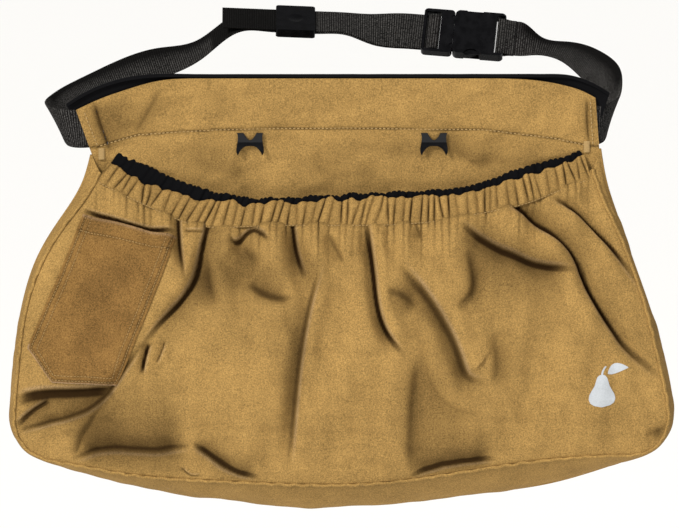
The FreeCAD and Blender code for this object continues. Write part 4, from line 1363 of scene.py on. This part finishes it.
class BAG_OT_belt(bpy.types.Operator):
    """Ribbed webbing belt, its right-hand end and the loop sewn round the buckle"""
    bl_idname = "picking_bag.belt"
    bl_label = "Belt"

    def execute(self, context):
        rib = context.scene.picking_bag.rib_height / MM
        low, high = belt_lines()
        strap = make_tube("belt_strap_webbing", *webbing_rings(low, high, rib))
        finish_piece(strap, webbing(context), "bag")
        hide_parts("belt_strap")

        half = WEB_WIDTH / 2
        low = [on_buckle(49.4, -half, 0), on_buckle(54, -half, 0), (188, 149, 12.5), (207, 139, 11),
               (231, 113, -2.5), (245, 88, -11), (250.5, 58, -21), (252, 28, -33), (250, 10, -37.5),
               (246, 1.0, -38.3), (242, -2.2, -38.5), (238.4, BELT_LAYER, -38.2)]
        high = [on_buckle(49.4, half, 0), on_buckle(54, half, 0), (193, 184, 22), (217, 174, 19.5),
                (249, 139, 19), (264, 109, 14.5), (268.5, 73, 8), (264, 34, -1), (256, 12, -0.3),
                (249, 1.5, -0.3), (243, -2.1, -0.4), (238.4, BELT_LAYER, -0.2)]
        right = make_tube("belt_right_webbing", *webbing_rings(low, high, rib))
        right.data.materials.append(webbing(context))
        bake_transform(right)
        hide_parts("belt_right")

        path = [(50, -0.95), (48, -0.95), (46, -1.05), (43.5, -1.6), (41, -2.6), (38.5, -3.2),
                (36.2, -3.2), (34.2, -3.0), (32.9, -1.7), (32.6, 0), (32.9, 1.7), (34.2, 3.0),
                (36.2, 3.2), (38.5, 3.2), (41, 2.6), (43.5, 1.6), (46, 1.05), (48, 0.95), (50, 0.95)]
        spots = spline(path)(np.linspace(0, 1, 110))
        low = [on_buckle(u, -half, w) for u, w in spots]
        high = [on_buckle(u, half, w) for u, w in spots]
        loop = make_tube("belt_end_loop_webbing", *webbing_rings(low, high, rib * 0.6))
        finish_piece(loop, webbing(context), "female_end")
        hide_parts("belt_end_loop")
        return {"FINISHED"}


class BAG_OT_hardware(bpy.types.Operator):
    """Finishes of the buckle, keeper, hooks and their bars"""
    bl_idname = "picking_bag.hardware"
    bl_label = "Buckle, Keeper and Hooks"

    def execute(self, context):
        settings = context.scene.picking_bag
        plastic = hard_material("moulded plastic", settings.plastic_colour, 0.25, 0.08, 0.0, 0.04)
        enamel = hard_material("black enamel", settings.metal_colour, 0.16, 0.04, 0.02, 0.07)
        finishes = {"buckle_male": plastic, "buckle_female": plastic, "prong_upper": plastic,
                    "prong_lower": plastic, "strap_keeper": plastic, "hook_left": enamel,
                    "hook_right": enamel, "hook_bar_left": enamel, "hook_bar_right": enamel}
        for name, finish in finishes.items():
            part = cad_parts[name]
            if not part.material_slots:
                part.data.materials.append(finish)
            for slot in part.material_slots:
                slot.material = finish
        return {"FINISHED"}


def waistband_rows():
    """The stitched line under the waistband and the short lines at its two ends."""
    x = np.linspace(-231, 232, 700)
    rows = [(on_band(x, stitch_height(x)), toward_front(len(x)))]
    for first, last, head in ((-245, -232, -6), (236, 239, 5)):
        z = np.linspace(head, -41, 60)
        x = first + (last - first) * np.linspace(0, 1, 60)
        rows.append((on_band(x, z), toward_front(len(x))))
    return rows


def pocket_rows():
    """The two rows round the pocket's sewn sides and the row along its hem."""
    rows = []
    for inset in POCKET_SEAMS:
        share = inset / POCKET_WIDE
        low = 1 - inset / POCKET_DEEP
        down = np.linspace(0.01, low, 160)
        s = np.concatenate([np.full(160, share), np.linspace(share, 1 - share, 90)[1:],
                            np.full(160, 1 - share)])
        t = np.concatenate([down, np.full(89, low), down[::-1]])
        rows.append(on_pocket(s, t))
    s = np.linspace(0.04, 0.96, 120)
    rows.append(on_pocket(s, np.full(120, POCKET_HEM / POCKET_DEEP), 0.35))
    return rows


def bartack_rows(low, high):
    """Threads laid side by side over a thread bar's box, each a little askew."""
    rows, count = [], 13
    for k in range(count):
        z = low[2] + (high[2] - low[2]) * (k + 0.5) / count
        x = np.linspace(low[0], high[0], 12)
        sag = 0.35 * math.sin(k * 2.4)
        askew = z + 0.25 * (x - x.mean()) / 6 + sag * 0.3
        rows.append((np.stack([x, np.full(12, low[1] + 0.55), askew], -1), toward_front(12)))
    return rows


class BAG_OT_seams(bpy.types.Operator):
    """Turned seams round the pouch, rows of stitching and the thread bars"""
    bl_idname = "picking_bag.seams"
    bl_label = "Seams and Stitching"

    def execute(self, context):
        length = context.scene.picking_bag.stitch_length / MM
        path = resample(spline(FRONT_EDGE)(np.linspace(0, 1, 1500)), SEAM_STEP)
        along = unit(np.gradient(path, axis=0))
        outward = unit(np.cross(along, np.array([0, -1.0, 0])))
        outward = unit(outward + np.array([0, -0.9, 0]))
        run = np.arange(len(path)) * SEAM_STEP
        path = path + outward * (1.0 + 0.35 * ripples(run, run * 0, 17, 81, lean=0.0))[:, None]
        seam_tube = make_tube("front_seam_cloth", cord_rings(path, outward, SEAM_RADIUS, 10, 0.75))
        finish_piece(seam_tube, canvas(context))
        follow_mouth(seam_tube)
        edge = np.array([(x, PANEL_FRONT + 0.6, z) for x, z in BACK_EDGE])
        path = resample(spline(edge)(np.linspace(0, 1, 1500)), SEAM_STEP)
        rings = cord_rings(path, toward_front(len(path)), SEAM_RADIUS, 10, 0.9)
        finish_piece(make_tube("back_seam_cloth", rings), canvas(context), "bag")

        sewn = make_stitches("waistband_stitches", waistband_rows(), length, 1.2, 0.5)
        finish_piece(sewn, thread(context), "bag")
        seam_line = seam(np.linspace(0.01, 0.99, 700)) + np.array([0, -1.5, 1.6])
        out = np.tile([0, -0.97, 0.2], (700, 1))
        sewn = make_stitches("mouth_stitches", [(seam_line, out)], length * 0.9, 0.9, 0.32)
        finish_piece(sewn, thread(context), "mouth")
        sewn = make_stitches("pocket_stitches", pocket_rows(), length * 0.85, 0.9, 0.26)
        finish_piece(sewn, thread(context))
        follow_mouth(sewn)

        for name, node in (("bartack_left_thread", "bartack_left"),
                           ("bartack_right_thread", "bartack_right")):
            low, high = (np.array(corner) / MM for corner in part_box(node))
            bar = make_stitches(name, bartack_rows(low, high), (high[0] - low[0]) * 0.9, 0.1, 0.5)
            finish_piece(bar, thread(context), "bag")
            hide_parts(node)
        return {"FINISHED"}


class BAG_OT_print(bpy.types.Operator):
    """Small plain print of a pear with a stem and a leaf"""
    bl_idname = "picking_bag.print"
    bl_label = "Pear Print"

    def execute(self, context):
        middle_x, middle_z = 247.0, -258.0
        s, t = grid(25, 44)

        def patch(name, x, z):
            outer, outward = on_front(x, z, np.full(x.shape, 0.45))
            made = make_sheet(name, outer, outer - outward * 0.5)
            finish_piece(made, print_ink(context))
            follow_mouth(made)

        half = np.interp(t, [0, 0.03, 0.1, 0.2, 0.35, 0.5, 0.62, 0.75, 0.87, 0.95, 1],
                         [0.2, 3.0, 4.8, 5.8, 7.2, 9.9, 12, 12.8, 11.4, 7.8, 0.3])
        patch("print_pear", middle_x + (s - 0.5) * 2 * half, middle_z + 13 - 31 * t)
        patch("print_stem", middle_x + 3.5 * t ** 2 + (s - 0.5) * 1.8, middle_z + 12.6 + 8 * t)
        half = np.maximum(4.2 * np.sin(np.pi * t ** 0.8) ** 0.9, 0.12)
        patch("print_leaf", middle_x + 5.5 + 19 * t - (s - 0.5) * half,
              middle_z + 13.5 + 5 * t + 3 * np.sin(np.pi * t) + (s - 0.5) * 2 * half)
        return {"FINISHED"}


OPERATORS = [BAG_OT_stage, BAG_OT_front, BAG_OT_gusset, BAG_OT_back, BAG_OT_mouth, BAG_OT_pocket,
             BAG_OT_belt, BAG_OT_hardware, BAG_OT_seams, BAG_OT_print]


class BAG_PT_panel(bpy.types.Panel):
    """Settings and steps of the picking bag"""
    bl_idname = "BAG_PT_panel"
    bl_label = "Picking Bag"
    bl_space_type = "VIEW_3D"
    bl_region_type = "UI"
    bl_category = "Picking Bag"

    def draw(self, context):
        layout = self.layout
        settings = context.scene.picking_bag
        for name in settings.__annotations__:
            layout.prop(settings, name)
        for step in OPERATORS:
            layout.operator(step.bl_idname)


CLASSES = [PickingBagSettings, *OPERATORS, BAG_PT_panel]


def register():
    for kind in CLASSES:
        bpy.utils.register_class(kind)
    bpy.types.Scene.picking_bag = bpy.props.PointerProperty(type=PickingBagSettings)


def unregister():
    del bpy.types.Scene.picking_bag
    for kind in reversed(CLASSES):
        bpy.utils.unregister_class(kind)


def main():
    register()
    for step in OPERATORS:
        group, name = step.bl_idname.split(".")
        getattr(getattr(bpy.ops, group), name)()


if __name__ == "__main__":
    main()
